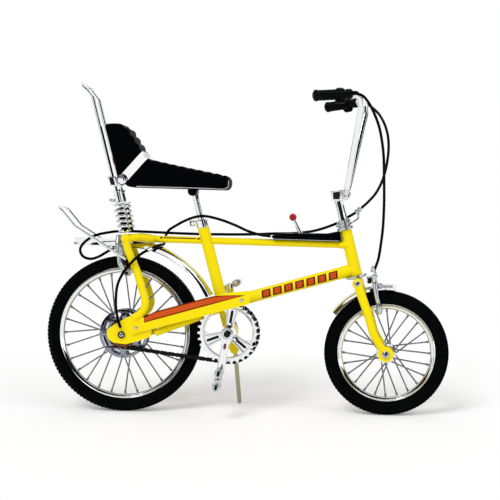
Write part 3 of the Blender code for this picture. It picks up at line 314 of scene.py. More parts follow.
def cut_plate(outlines, y_low, y_high, bevel=0.08):
    """A flat plate from (x, z) outlines, the first its edge and the others its holes, edges bevelled."""
    flat = bpy.data.curves.new("plate", "CURVE")
    flat.dimensions = "2D"
    flat.fill_mode = "BOTH"
    flat.extrude = (y_high - y_low) / 2 - bevel
    flat.bevel_depth = bevel
    flat.bevel_resolution = 2
    flat.offset = -bevel
    for outline in outlines:
        spline = flat.splines.new("POLY")
        spline.points.add(len(outline) - 1)
        spline.use_cyclic_u = True
        for target, (x, z) in zip(spline.points, outline):
            target.co = (x, z, 0.0, 1.0)
    mesh = baked(linked(bpy.data.objects.new("plate", flat)))
    mesh.transform(Matrix.Translation((0, (y_low + y_high) / 2, 0)) @ Matrix.Rotation(math.pi / 2, 4, "X"))
    shape = bmesh.new()
    shape.from_mesh(mesh)
    bpy.data.meshes.remove(mesh)
    bmesh.ops.remove_doubles(shape, verts=shape.verts, dist=1e-4)
    bmesh.ops.recalc_face_normals(shape, faces=shape.faces)
    return shape


def hidden_path(name, points, closed=False):
    """A curve through the points that doesn't render, for a Geometry Nodes tree to follow."""
    curve = bpy.data.curves.new(name, "CURVE")
    curve.dimensions = "3D"
    spline = curve.splines.new("POLY")
    spline.points.add(len(points) - 1)
    spline.use_cyclic_u = closed
    for target, point in zip(spline.points, points):
        target.co = (*point, 1.0)
    item = linked(bpy.data.objects.new(name, curve))
    item.hide_render = True
    return item


def slot_outline(centre, angle, length, width, steps=8):
    """A slot with round ends, its length laid at an angle."""
    half = (length - width) / 2
    points = []
    for end, start in ((1, -90), (-1, 90)):
        for i in range(steps + 1):
            a = math.radians(start + 180 * i / steps)
            u = end * (half + width / 2 * abs(math.cos(a)))
            v = width / 2 * math.sin(a)
            points.append((centre[0] + u * math.cos(angle) - v * math.sin(angle),
                           centre[1] + u * math.sin(angle) + v * math.cos(angle)))
    return points


def linked(item):
    """Put a new object into the scene."""
    bpy.context.scene.collection.objects.link(item)
    return item


def mesh_of(shape, name="shape"):
    """A shape as a mesh; a mesh stays as it is."""
    if isinstance(shape, bpy.types.Mesh):
        return shape
    mesh = bpy.data.meshes.new(name)
    shape.to_mesh(mesh)
    shape.free()
    return mesh


def dress(name, shape, surface, body, replaces=(), place=None, edge=40.0):
    """Make a piece of a shape and give it to a body. A surface of None keeps the mesh's own finish."""
    mesh = mesh_of(shape, name)
    mesh.transform(place or PLACE[body])
    if surface is not None:
        mesh.materials.clear()
        mesh.materials.append(surface)
    mesh.shade_smooth()
    mesh.set_sharp_from_angle(angle=math.radians(edge))
    item = linked(bpy.data.objects.new(name, mesh))
    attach(item, body)
    if replaces:
        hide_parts(*replaces)


# Nodes

def node(tree, kind, inputs=None, **settings):
    """Add a node: settings go on the node itself, inputs are values or other nodes' outputs."""
    made = tree.nodes.new(kind)
    for key, value in settings.items():
        setattr(made, key, value)
    for key, value in (inputs or {}).items():
        if isinstance(value, bpy.types.NodeSocket):
            tree.links.new(value, made.inputs[key])
        else:
            made.inputs[key].default_value = value
    return made


def new_tree(name, inputs):
    """Start a Geometry Nodes tree with named inputs, each with its kind. Returns the tree and its inputs."""
    tree = bpy.data.node_groups.new(name, "GeometryNodeTree")
    for label, kind in {"Geometry": "Geometry", **inputs}.items():
        tree.interface.new_socket(label, in_out="INPUT", socket_type="NodeSocket" + kind)
    tree.interface.new_socket("Geometry", in_out="OUTPUT", socket_type="NodeSocketGeometry")
    return tree, tree.nodes.new("NodeGroupInput").outputs


def finish_tree(tree, geometry, material):
    """End a tree in real geometry with its material."""
    solid = node(tree, "GeometryNodeRealizeInstances", {"Geometry": geometry})
    painted = node(tree, "GeometryNodeSetMaterial", {"Geometry": solid.outputs[0], "Material": material})
    node(tree, "NodeGroupOutput", {"Geometry": painted.outputs[0]})
    return tree


def round_axle_tree():
    """Copies of the input geometry turned about the Y axis."""
    tree, source = new_tree("copies_round_axle", {"Count": "Int", "Finish": "Material"})
    points = node(tree, "GeometryNodePoints", {"Count": source["Count"]})
    index = node(tree, "GeometryNodeInputIndex")
    share = node(tree, "ShaderNodeMath", {0: index.outputs[0], 1: source["Count"]}, operation="DIVIDE")
    turn = node(tree, "ShaderNodeMath", {0: share.outputs[0], 1: math.tau}, operation="MULTIPLY")
    angle = node(tree, "ShaderNodeCombineXYZ", {"Y": turn.outputs[0]})
    copies = node(tree, "GeometryNodeInstanceOnPoints", {
        "Points": points.outputs[0], "Instance": source["Geometry"], "Rotation": angle.outputs[0]})
    return finish_tree(tree, copies.outputs[0], source["Finish"])


def along_path_tree():
    """Copies of the input geometry along a path in the XZ plane, at every Step-th place from Phase on."""
    tree, source = new_tree("copies_along_path", {
        "Path": "Object", "Count": "Int", "Step": "Int", "Phase": "Int", "Finish": "Material"})
    path = node(tree, "GeometryNodeObjectInfo", {"Object": source["Path"]})
    points = node(tree, "GeometryNodeCurveToPoints", {
        "Curve": path.outputs["Geometry"], "Count": source["Count"]}, mode="COUNT")
    turn = node(tree, "FunctionNodeAlignRotationToVector", {"Vector": points.outputs["Tangent"]},
                axis="X", pivot_axis="Y")
    index = node(tree, "GeometryNodeInputIndex")
    place = node(tree, "ShaderNodeMath", {0: index.outputs[0], 1: source["Step"]}, operation="MODULO")
    chosen = node(tree, "ShaderNodeMath", {0: place.outputs[0], 1: source["Phase"], 2: 0.1},
                  operation="COMPARE")
    copies = node(tree, "GeometryNodeInstanceOnPoints",
                  {"Points": points.outputs["Points"], "Selection": chosen.outputs[0],
                   "Instance": source["Geometry"], "Rotation": turn.outputs[0]})
    return finish_tree(tree, copies.outputs[0], source["Finish"])


def heads_tree():
    """A copy of Head at each vertex of the input, turned about Z and sized by the vertex's attributes."""
    tree, source = new_tree("heads_at_points", {"Head": "Object", "Finish": "Material"})
    head = node(tree, "GeometryNodeObjectInfo", {"Object": source["Head"]})
    facing = node(tree, "GeometryNodeInputNamedAttribute", {"Name": "turn"}, data_type="FLOAT")
    size = node(tree, "GeometryNodeInputNamedAttribute", {"Name": "size"}, data_type="FLOAT")
    angle = node(tree, "ShaderNodeCombineXYZ", {"Z": facing.outputs[0]})
    copies = node(tree, "GeometryNodeInstanceOnPoints",
                  {"Points": source["Geometry"], "Instance": head.outputs["Geometry"],
                   "Rotation": angle.outputs[0], "Scale": size.outputs[0]})
    return finish_tree(tree, copies.outputs[0], source["Finish"])


def coil_tree():
    """A helical spring that stands on the origin, along Z."""
    tree, source = new_tree("coil_spring", {
        "Turns": "Float", "Foot Radius": "Float", "Top Radius": "Float", "Length": "Float",
        "Wire": "Float", "Finish": "Material"})
    coil = node(tree, "GeometryNodeCurveSpiral",
                {"Resolution": 28, "Rotations": source["Turns"], "Start Radius": source["Foot Radius"],
                 "End Radius": source["Top Radius"], "Height": source["Length"]})
    wire = node(tree, "GeometryNodeCurvePrimitiveCircle", {"Resolution": 12, "Radius": source["Wire"]})
    bent = node(tree, "GeometryNodeCurveToMesh",
                {"Curve": coil.outputs[0], "Profile Curve": wire.outputs[0], "Fill Caps": True})
    return finish_tree(tree, bent.outputs[0], source["Finish"])


def grown(tree, base, **sizes):
    """The mesh that a Geometry Nodes tree makes of a base shape, with its named inputs set."""
    item = linked(bpy.data.objects.new("base", mesh_of(base)))
    modifier = item.modifiers.new("nodes", "NODES")
    modifier.node_group = tree
    for socket in tree.interface.items_tree:
        if socket.in_out == "INPUT" and socket.name in sizes:
            modifier[socket.identifier] = sizes[socket.name]
    return baked(item)


ROUND_AXLE = round_axle_tree()
ALONG_PATH = along_path_tree()
HEADS = heads_tree()
COIL = coil_tree()


# Finishes

def linear(colour):
    """An sRGB hex colour as linear RGBA."""
    channels = [int(colour[i:i + 2], 16) / 255 for i in (1, 3, 5)]
    return (*[c / 12.92 if c <= 0.04045 else ((c + 0.055) / 1.055) ** 2.4 for c in channels], 1.0)


def new_finish(name, colour, **values):
    """A material with one shader. Returns the material, its tree, the shader and the Object coordinates."""
    made = bpy.data.materials.new(name)
    made.use_nodes = True
    tree = made.node_tree
    shader = tree.nodes["Principled BSDF"]
    shader.inputs["Base Color"].default_value = linear(colour)
    for key, value in values.items():
        shader.inputs[key].default_value = value
    return made, tree, shader, node(tree, "ShaderNodeTexCoord").outputs["Object"]


def grain(tree, place, size, detail=3.0):
    """Noise whose lumps are about size millimetres across, as a height from 0 to 1."""
    noise = node(tree, "ShaderNodeTexNoise", {"Vector": place, "Scale": 1 / (size * MM), "Detail": detail})
    return noise.outputs[0]


def bump(tree, shader, height, depth, strength=1.0):
    """Raise the surface by a height from 0 to 1, depth millimetres at most."""
    raised = node(tree, "ShaderNodeBump", {"Height": height, "Distance": depth * MM, "Strength": strength})
    tree.links.new(raised.outputs[0], shader.inputs["Normal"])


def vary(tree, factor, low, high, socket):
    """Drive a shader input between two values by a factor from 0 to 1."""
    ranged = node(tree, "ShaderNodeMapRange", {"Value": factor, "From Min": 0.35, "From Max": 0.65,
                                               "To Min": low, "To Max": high})
    tree.links.new(ranged.outputs[0], socket)


def tint(tree, factor, dark, light, socket):
    """Mix two colours by a factor from 0 to 1."""
    mixed = node(tree, "ShaderNodeMix", {0: factor, 6: linear(dark), 7: linear(light)}, data_type="RGBA")
    tree.links.new(mixed.outputs[2], socket)


def gloss_enamel():
    """Sprayed lemon enamel over zinc: full gloss, faint orange peel, and a tone that wavers a little in
    broad patches.
    """
    made, tree, shader, place = new_finish("lemon_enamel_on_zinc", "#FBE200", Roughness=0.4, **{
        "Specular IOR Level": 0.1, "Coat Weight": 0.1, "Coat Roughness": 0.08})
    tint(tree, grain(tree, place, 9.0), "#F7DC00", "#FFEB00", shader.inputs["Base Color"])
    bump(tree, shader, grain(tree, place, 0.9), 0.012)
    return made


def bright_chrome(name="bright_chrome_plate", colour="#EEF0F2", rough=0.05):
    """Plated metal or plastic: a near mirror, with fine wipe marks that break its reflections."""
    made, tree, shader, place = new_finish(name, colour, Metallic=1.0, Roughness=rough)
    stretched = node(tree, "ShaderNodeMapping", {"Vector": place, "Scale": (1.0, 1.0, 0.25)}).outputs[0]
    wiped = grain(tree, stretched, 0.6, 4.0)
    vary(tree, wiped, rough * 0.7, rough * 1.8, shader.inputs["Roughness"])
    bump(tree, shader, grain(tree, place, 1.6), 0.010)
    return made


def tyre_rubber():
    """Moulded black rubber: matt, with a fine release bloom from the mould."""
    made, tree, shader, place = new_finish("moulded_tyre_rubber", "#040405", Roughness=0.5,
                                           **{"Specular IOR Level": 0.02})
    tint(tree, grain(tree, place, 2.5), "#010102", "#080A0A", shader.inputs["Base Color"])
    vary(tree, grain(tree, place, 1.2), 0.4, 0.6, shader.inputs["Roughness"])
    bump(tree, shader, grain(tree, place, 0.35), 0.02)
    return made


def grained_vinyl():
    """Moulded like padded vinyl: a satin black skin with a leather grain, and one white band."""
    made, tree, shader, place = new_finish("black_grained_seat_vinyl", "#040506", Roughness=0.48,
                                           **{"Specular IOR Level": 0.012})
    middle, across_band = BIKE @ SEAT_BAND, BIKE.to_3x3().normalized() @ SEAT_BAND_ACROSS
    offset = node(tree, "ShaderNodeVectorMath", {0: place, 1: middle}, operation="SUBTRACT").outputs[0]
    height = node(tree, "ShaderNodeVectorMath", {0: offset, 1: across_band}, operation="DOT_PRODUCT")
    white = node(tree, "ShaderNodeMath", {0: height.outputs["Value"], 1: 0.0, 2: SEAT_BAND_HALF * MM},
                 operation="COMPARE")
    tint(tree, white.outputs[0], "#030405", "#F6F6F4", shader.inputs["Base Color"])
    cells = node(tree, "ShaderNodeTexVoronoi", {"Vector": place, "Scale": 1 / (0.55 * MM)},
                 feature="SMOOTH_F1")
    vary(tree, grain(tree, place, 1.5), 0.42, 0.56, shader.inputs["Roughness"])
    bump(tree, shader, cells.outputs["Distance"], 0.03, 0.5)
    return made


def plain(name, colour, rough, lump=0.8, depth=0.015, **values):
    """A moulded or drawn part in one colour, with the faint unevenness that its mould or die leaves."""
    made, tree, shader, place = new_finish(name, colour, Roughness=rough, **values)
    lumps = grain(tree, place, lump)
    vary(tree, lumps, rough * 0.85, min(1.0, rough * 1.2), shader.inputs["Roughness"])
    bump(tree, shader, lumps, depth)
    return made


def ribbed_red():
    """A moulded red reflector: clear gloss over a lattice of small prisms."""
    made, tree, shader, place = new_finish("red_prism_reflector", "#B4121C", Roughness=0.12,
                                           **{"Coat Weight": 1.0})
    prisms = node(tree, "ShaderNodeTexVoronoi", {"Vector": place, "Scale": 1 / (0.4 * MM)},
                  distance="CHEBYCHEV")
    # Painted shading of the prisms: light red in each prism's middle, dark red at its edges.
    tint(tree, prisms.outputs["Distance"], "#E03038", "#7C0810", shader.inputs["Base Color"])
    bump(tree, shader, prisms.outputs["Distance"], 0.08)
    return made


ENAMEL = gloss_enamel()
CHROME = bright_chrome()
# Plate over unpolished metal: the same mirror, blurred
SATIN_CHROME = bright_chrome("satin_chrome_plate", "#C9CCCF", 0.2)
# Buffed steel, a darker mirror than the rims
HUB_STEEL = bright_chrome("polished_hub_steel", "#8E939E", 0.08)
# Steel browned by heat: warm and dull
BRONZE = bright_chrome("browned_steel_sprocket", "#6B4634", 0.3)
# Flat, dull dark red laid in the grooves of the crank arms
GROOVE_RED = plain("dull_dark_red_in_groove", "#5A2226", 0.5)
TYRE = tyre_rubber()
VINYL = grained_vinyl()
# Extruded cable sleeve, smooth and even
SLEEVE = plain("extruded_pvc_sleeve", "#020202", 0.3, 1.2, **{"Specular IOR Level": 0.04})
# Soft grips with a fine mould texture that spreads the light
GRIP = plain("moulded_grip_rubber", "#040607", 0.42, 0.5, 0.03, **{"Specular IOR Level": 0.06})
# Hard black mouldings, a little glossier than the rubber
ABS = plain("moulded_black_abs", "#030405", 0.28, 1.0, **{"Specular IOR Level": 0.03})
CHAIN_BLACK = plain("black_moulded_chain", "#050506", 0.4, 0.5, **{"Specular IOR Level": 0.14})
# Polished moulding with a small bright highlight
RED = plain("gloss_red_abs", "#A80810", 0.22, 1.0, **{"Specular IOR Level": 0.25, "Coat Weight": 0.15})
# Drawn wire and rod: bare metal with a fine grain, duller than the plate
SPOKE_STEEL = plain("drawn_spoke_wire", "#7C7E82", 0.28, 0.5, 0.01, Metallic=0.9)
STAND_STEEL = plain("drawn_steel_rod", "#A09F88", 0.3, 0.4, 0.01, Metallic=0.95)
# Painted shade: one near-black steel colour laid in slots, recesses and windows and on small nuts, bolts and
# washers, so that they read as depth; it is also the painted dark reflection down the quill and on the
# pedals' ends
PAINTED_DARK = plain("painted_shade_and_dark_reflection", "#0C0E0E", 0.4, **{"Specular IOR Level": 0.2})
# Pad-printed inks: flat colour, a little duller than the enamel round it
ORANGE_INK = plain("orange_pad_print", "#CC4800", 0.45, 0.5, 0.006, **{"Specular IOR Level": 0.15})
MAROON_INK = plain("maroon_pad_print", "#5E1408", 0.45, 0.5, 0.006, **{"Specular IOR Level": 0.15})
PALE_INK = plain("pale_orange_pad_print", "#EC8C4C", 0.45, 0.5, 0.006, **{"Specular IOR Level": 0.15})
# Hot-stamped foil: a bright line with a slight haze
TRIM = plain("foil_seat_trim", "#D9DBDD", 0.25, 0.6, 0.01, Metallic=0.9)
REFLECTOR = ribbed_red()


# Wheels and tyres

def tyre_shape(centre, radius, height, width):
    """Bead, bulging wall with two moulded rings, shoulder and crown."""
    half, inner, crown = width / 2, radius - height, radius - TREAD_HEIGHT
    # Share of the height above the bead, share of the half width
    wall = [(0.0, 0.60), (0.02, 0.68), (0.10, 0.78), (0.13, 0.86), (0.17, 0.84), (0.32, 0.97), (0.46, 1.0),
            (0.60, 0.985), (0.66, 0.99), (0.69, 0.94), (0.80, 0.83), (0.89, 0.66)]
    right = [(inner + up * height, out) for up, out in wall] + [(crown - 0.02 * height, 0.38), (crown, 0.0)]
    profile = ([(r, -half * out) for r, out in right]
               + [(r, half * out) for r, out in reversed(right[:-1])])
    return turned(profile, centre, 144)


def tread(centre, radius, width, count):
    """Three rows of moulded blocks round the crown."""
    blocks = []
    for row, half_length, shift in ((-0.27, 0.46, 0.5), (0.0, 0.5, 0.0), (0.27, 0.46, 0.5)):
        middle = math.tau / count * shift
        x, z = polar((0, 0), radius - TREAD_HEIGHT, math.pi / 2 - middle)
        out = Vector((x, 0, z)).normalized()
        drop = 0.05 * abs(row) * width
        low, high = out * (radius - TREAD_HEIGHT - 0.06 - drop), out * (radius - drop)
        along = Vector((out.z, 0, -out.x))
        reach = half_length * math.tau * radius / count * 0.84
        sideways = Vector((0, 0.11 * width, 0))
        rings = [[at + Vector((0, row * width, 0)) + along * (a * reach * taper) + sideways * (b * taper)
                  for a, b in ((1, 1), (1, -1), (-1, -1), (-1, 1))]
                 for at, taper in ((low, 1.05), (high, 0.85))]
        blocks.append(skin(rings))
    mesh = grown(ROUND_AXLE, joined(*blocks), Count=count, Finish=TYRE)
    mesh.transform(Matrix.Translation((centre[0], 0, centre[1])))
    return mesh


def rim_shape(centre, outer, half=1.45):
    """A hooked rim: rolled lips, a flat wall and a well between them."""
    right = [(outer, half - 0.12), (outer + 0.02, half), (outer - 0.14, half + 0.1), (outer - 0.3, half),
             (outer - 0.42, half - 0.16), (outer - 0.8, half - 0.3), (outer - 1.1, half - 0.5),
             (outer - 1.32, half - 0.9), (outer - 1.4, 0.0)]
    profile = [(r, y) for r, y in right] + [(r, -y) for r, y in reversed(right[:-1])]
    return turned(profile, centre, 144)


def spokes(centre, count, flange_radius, flange_y, rim_radius, cross):
    """Four spokes, one for each flange and lean, repeated round the axle with their nipples."""
    rods = []
    for i in range(4):
        side = 1 if i % 2 else -1
        lean = cross if i < 2 else -cross
        angle = math.tau * i / count
        hub = Vector((*polar((0, 0), flange_radius, angle + lean), 0)).xzy
        rim = Vector((*polar((0, 0), rim_radius, angle), 0)).xzy
        hub.y = side * (flange_y + (0.07 if lean > 0 else -0.07))
        rim.y = side * 0.35
        along, length = (rim - hub).normalized(), (rim - hub).length
        rods.append(lathe(hub - along * 0.3, along, [
            (0, 0.3), (0.3, 0.3), (0.45, SPOKE_RADIUS), (length - 0.9, SPOKE_RADIUS), (length - 0.8, 0.3),
            (length + 0.3, 0.34)], 10))
    mesh = grown(ROUND_AXLE, joined(*rods), Count=count // 4, Finish=SPOKE_STEEL)
    mesh.transform(Matrix.Translation((centre[0], 0, centre[1])))
    return mesh


def hub_flange(centre, radius, y_low, y_high, slots, bore):
    """A pierced disc, dished so that its middle stands further out than its edge."""
    outlines = [[polar(centre, radius, math.tau * i / 72) for i in range(72)],
                [polar(centre, bore, -math.tau * i / 32) for i in range(32)]]
    for i in range(slots):
        angle = math.pi / slots + math.tau / slots * i
        outlines.append(slot_outline(polar(centre, 5.3, angle), angle + math.pi / 2, 2.9, 1.1))
    disc = cut_plate(outlines, y_low, y_high)
    side = math.copysign(1.0, y_low + y_high)
    for vert in disc.verts:
        reach = math.hypot(vert.co.x - centre[0], vert.co.z - centre[1])
        vert.co.y += side * min(0.75, 0.46 * max(0.0, radius - reach))
    return disc


def gear_outline(centre, radius, teeth, depth):
    """A ring of teeth with sloping flanks and a land at the tip."""
    points = []
    for i in range(teeth):
        for share, drop in ((-0.30, depth), (-0.12, 0.0), (0.12, 0.0), (0.30, depth)):
            points.append(polar(centre, radius - drop, math.tau * (i + share) / teeth))
    return points


def wheel(end, axle, tyre_height, tyre_width, blocks, spoke_count, flange_radius, flange_y, lean):
    """The tyre with its tread, the rim and the spokes of the wheel at one end."""
    body, radius = end + "_wheel", axle[1]
    carcass = tyre_shape(axle, radius, tyre_height, tyre_width)
    dress(end + "_tyre_carcass", carcass, TYRE, body, [end + "_tyre"])
    dress(end + "_tread", tread(axle, radius, tyre_width, blocks), None, body)
    rim_outer = radius - tyre_height - GAP
    dress(end + "_rim", rim_shape(axle, rim_outer), CHROME, body, [body])
    rim_radius = rim_outer - SPOKE_END_DEPTH
    wires = spokes(axle, spoke_count, flange_radius, flange_y, rim_radius, math.radians(lean))
    dress(end + "_spokes", wires, None, body)


def rear_wheel():
    """The rear wheel with its drum hub, pierced discs and sprocket."""
    wheel("rear", REAR_AXLE, REAR_TYRE_HEIGHT, REAR_TYRE_WIDTH, REAR_TREAD_BLOCKS, REAR_SPOKES,
          flange_radius=6.4, flange_y=2.35, lean=10)
    for name, side in SIDES:
        # The axle cups are near-black: painted shade round each axle end.
        cup = lathe((0, side * 6.15, REAR_RADIUS), (0, side, 0),
                    [(0, 0.98), (0.25, 0.98), (0.3, 0.9), (0.3, 0.5)], 32)
        dress("rear_axle_cup_" + name, cup, PAINTED_DARK, "rear_wheel")
    start = (0, -6.3, REAR_RADIUS)
    barrel = [(0, 0.55), (0.15, 0.7), (2.0, 0.7), (2.05, 2.6), (3.6, 2.6), (3.7, 1.6), (8.3, 1.6),
              (8.45, 1.9), (10.8, 1.9), (10.9, 0.7), (12.45, 0.7), (12.6, 0.55)]
    dress("rear_hub_barrel", lathe(start, (0, 1, 0), barrel), CHROME, "rear_wheel")
    for name, low, high in (("right", -2.55, -2.2), ("left", 2.2, 2.55)):
        disc = hub_flange(REAR_AXLE, radius=6.7, y_low=low, y_high=high, slots=8, bore=1.5)
        dress("rear_hub_flange_" + name, disc, HUB_STEEL, "rear_wheel")
    teeth = [gear_outline(REAR_AXLE, SPROCKET_RADIUS + 0.1, 14, 0.6),
             [polar(REAR_AXLE, 0.8, -math.tau * i / 24) for i in range(24)]]
    dress("rear_sprocket", cut_plate(teeth, *SPROCKET_FACES, 0.06), BRONZE, "rear_wheel")


def front_wheel():
    """The front wheel with its low flanged hub."""
    wheel("front", FRONT_AXLE, FRONT_TYRE_HEIGHT, FRONT_TYRE_WIDTH, FRONT_TREAD_BLOCKS, FRONT_SPOKES,
          flange_radius=2.4, flange_y=2.15, lean=30)
    start = (WHEELBASE, -5.1, FRONT_RADIUS)
    barrel = [(0, 0.55), (0.15, 0.7), (1.55, 0.7), (1.6, 1.1), (2.7, 1.1), (2.75, 2.6), (2.85, 2.7),
              (3.1, 2.7), (3.2, 2.6), (3.3, 1.1), (6.9, 1.1), (7.0, 2.6), (7.1, 2.7), (7.35, 2.7),
              (7.45, 2.6), (7.5, 1.1), (8.6, 1.1), (8.65, 0.7), (10.05, 0.7), (10.2, 0.55)]
    dress("front_hub", lathe(start, (0, 1, 0), barrel), CHROME, "front_wheel")


# Drive

def chain_path():
    """The chain's middle line round both toothed wheels, as (x, z) points."""
    small, large = SPROCKET_RADIUS - CHAIN_DEPTH / 2, CHAINRING_RADIUS - CHAIN_DEPTH / 2
    rear, front = Vector(REAR_AXLE), Vector(BRACKET)
    line = front - rear
    tilt = math.atan2(line.y, line.x)
    spread = math.acos((small - large) / line.length)
    points = [Vector(polar(front, large, tilt - spread + 2 * spread * i / 40)) for i in range(41)]
    wrap = math.tau - 2 * spread
    points += [Vector(polar(rear, small, tilt + spread + wrap * i / 24)) for i in range(25)]
    return points


def chain():
    """The moulded chain: outer links at every other place, inner links between them."""
    path = hidden_path("chain_path", [(p.x, -CHAIN_LINE, p.y) for p in chain_path()], closed=True)
    # A link plate's place along the chain and its share of the plate's height there
    waist = [(-0.66, 0.75), (-0.5, 1.0), (-0.3, 0.95), (0, 0.8), (0.3, 0.95), (0.5, 1.0), (0.66, 0.75)]
    for name, phase, offset, high in (("outer_links", 0, 0.3, 0.58), ("inner_links", 1, 0.17, 0.52)):
        edge = ([(x, high * share) for x, share in waist]
                + [(x, -high * share) for x, share in reversed(waist)])
        plates = []
        for side in (-1, 1):
            low, top = sorted((side * offset, side * (offset + 0.1)))
            plates.append(skin([[(x, y, z) for x, z in edge] for y in (low, top)]))
        roller = lathe((0.53, -0.33, 0), (0, 1, 0), [(0, 0.24), (0.66, 0.24)], 8)
        mesh = grown(ALONG_PATH, joined(*plates, roller), Path=path, Count=CHAIN_LINKS, Step=2,
                     Phase=phase, Finish=CHAIN_BLACK)
        dress("chain_" + name, mesh, None, "frame", ["chain"] if phase == 0 else ())
    bpy.data.objects.remove(path)


def arm_outline(direction):
    """A crank arm from the side: a round boss, a waist and a smaller round end."""
    tip = polar(BRACKET, CRANK_LENGTH, direction)
    big = [polar(BRACKET, 1.75, direction + math.radians(a)) for a in range(60, 301, 10)]
    waist = [polar(BRACKET, 3.4, direction + side * 0.3) for side in (-1, 1)]
    small = [polar(tip, 1.05, direction + math.radians(a)) for a in range(-90, 91, 12)]
    return [*big, waist[0], *small, waist[1]]


def window_outline(middle_angle):
    """One of the chainring's three windows: a wide rounded opening held inside the toothed band."""
    middle = polar(BRACKET, 5.7, middle_angle)
    outline = []
    for j in range(40):
        x, z = polar(middle, 4.0, -math.tau * j / 40)
        reach = math.hypot(x - BRACKET[0], z - BRACKET[1])
        shrink = min(1.0, 6.5 / reach)
        outline.append((BRACKET[0] + (x - BRACKET[0]) * shrink, BRACKET[1] + (z - BRACKET[1]) * shrink))
    return outline


def crankset():
    """The pierced chainring, the axle through the frame and both crank arms."""
    windows = [window_outline(RIGHT_CRANK_ANGLE + math.tau / 3 * i) for i in range(3)]
    ring = cut_plate([gear_outline(BRACKET, CHAINRING_RADIUS, 30, 0.75), *windows], *SPROCKET_FACES, 0.06)
    root = CHAINRING_RADIUS - CHAIN_DEPTH - GAP
    shoulder_outline = [polar(BRACKET, root, math.tau * i / 72) for i in range(72)]
    shoulder = cut_plate([shoulder_outline, *windows], -4.32, -3.5, 0.05)
    face = SPROCKET_FACES[0] - 0.02
    rolled = turned([(6.85 + a, face + b) for a, b in circle(0.28, 12)], BRACKET, 96)
    ribs, painted_dark_patches = [], []
    for i in range(3):
        angle = RIGHT_CRANK_ANGLE + math.pi + math.tau / 3 * i
        for turn in (-0.2, 0.2):
            near, far = polar(BRACKET, 1.9, angle + turn * 2.2), polar(BRACKET, 6.8, angle + turn)
            ribs.append(tube([(near[0], face, near[1]), (far[0], face, far[1])], 0.3, 12))
        painted_dark_patch = slot_outline(polar(BRACKET, 4.5, angle), angle, 3.6, 0.75)
        painted_dark_patches.append(cut_plate([painted_dark_patch], -4.92, -4.8, 0.02))
    hub_rows = [(0, 1.0), (0.1, 1.25), (0.55, 1.25), (0.6, 1.7), (1.6, 1.8), (2.2, 2.0), (4.1, 2.2),
                (4.3, 1.9)]
    hub = lathe((BRACKET[0], -CRANK_INNER - CRANK_THICKNESS - 0.05, BRACKET[1]), (0, 1, 0), hub_rows)
    dress("chainring", joined(ring, shoulder, rolled, *ribs), CHROME, "crank", ["crank"])
    # Near-black slots on the ring's face between its ribs: painted shade in the hollows there.
    dress("chainring_hollows", joined(*painted_dark_patches), PAINTED_DARK, "crank")
    dress("crank_hub", hub, CHROME, "crank")
    axle = lathe((BRACKET[0], -CRANK_INNER, BRACKET[1]), (0, 1, 0), [(0, 0.9), (2 * CRANK_INNER, 0.9)])
    dress("crank_axle", axle, SATIN_CHROME, "crank")
    for name, side, direction in (("right", -1, RIGHT_CRANK_ANGLE), ("left", 1, LEFT_CRANK_ANGLE)):
        low, high = sorted((side * CRANK_INNER, side * (CRANK_INNER + CRANK_THICKNESS)))
        arm = cut_plate([arm_outline(direction)], low, high, 0.25)
        tip = polar(BRACKET, CRANK_LENGTH, direction)
        eye = lathe((tip[0], side * (CRANK_INNER + CRANK_THICKNESS - 0.05), tip[1]), (0, side, 0),
                    [(0, 0.95), (0.12, 0.95), (0.2, 0.8)], 24)
        dress("crank_arm_" + name, joined(arm, eye), CHROME, "crank")
        groove = slot_outline(polar(BRACKET, 3.3, direction), direction, 1.6, 0.75)
        face = side * (CRANK_INNER + CRANK_THICKNESS)
        low, high = sorted((face - side * 0.05, face + side * SKIN))
        dress("crank_groove_" + name, cut_plate([groove], low, high, 0.01), GROOVE_RED, "crank")
        cap = lathe((BRACKET[0], face - side * 0.1, BRACKET[1]), (0, side, 0),
                    [(0, 1.0), (0.2, 1.0), (0.3, 0.85)], 6)
        ring = turned([(1.3 + a, face + side * b) for a, b in circle(0.16, 10)], BRACKET, 48)
        # The nut is near-black: painted shade.
        dress("crank_nut_" + name, cap, PAINTED_DARK, "crank")
        dress("crank_washer_" + name, ring, CHROME, "crank")


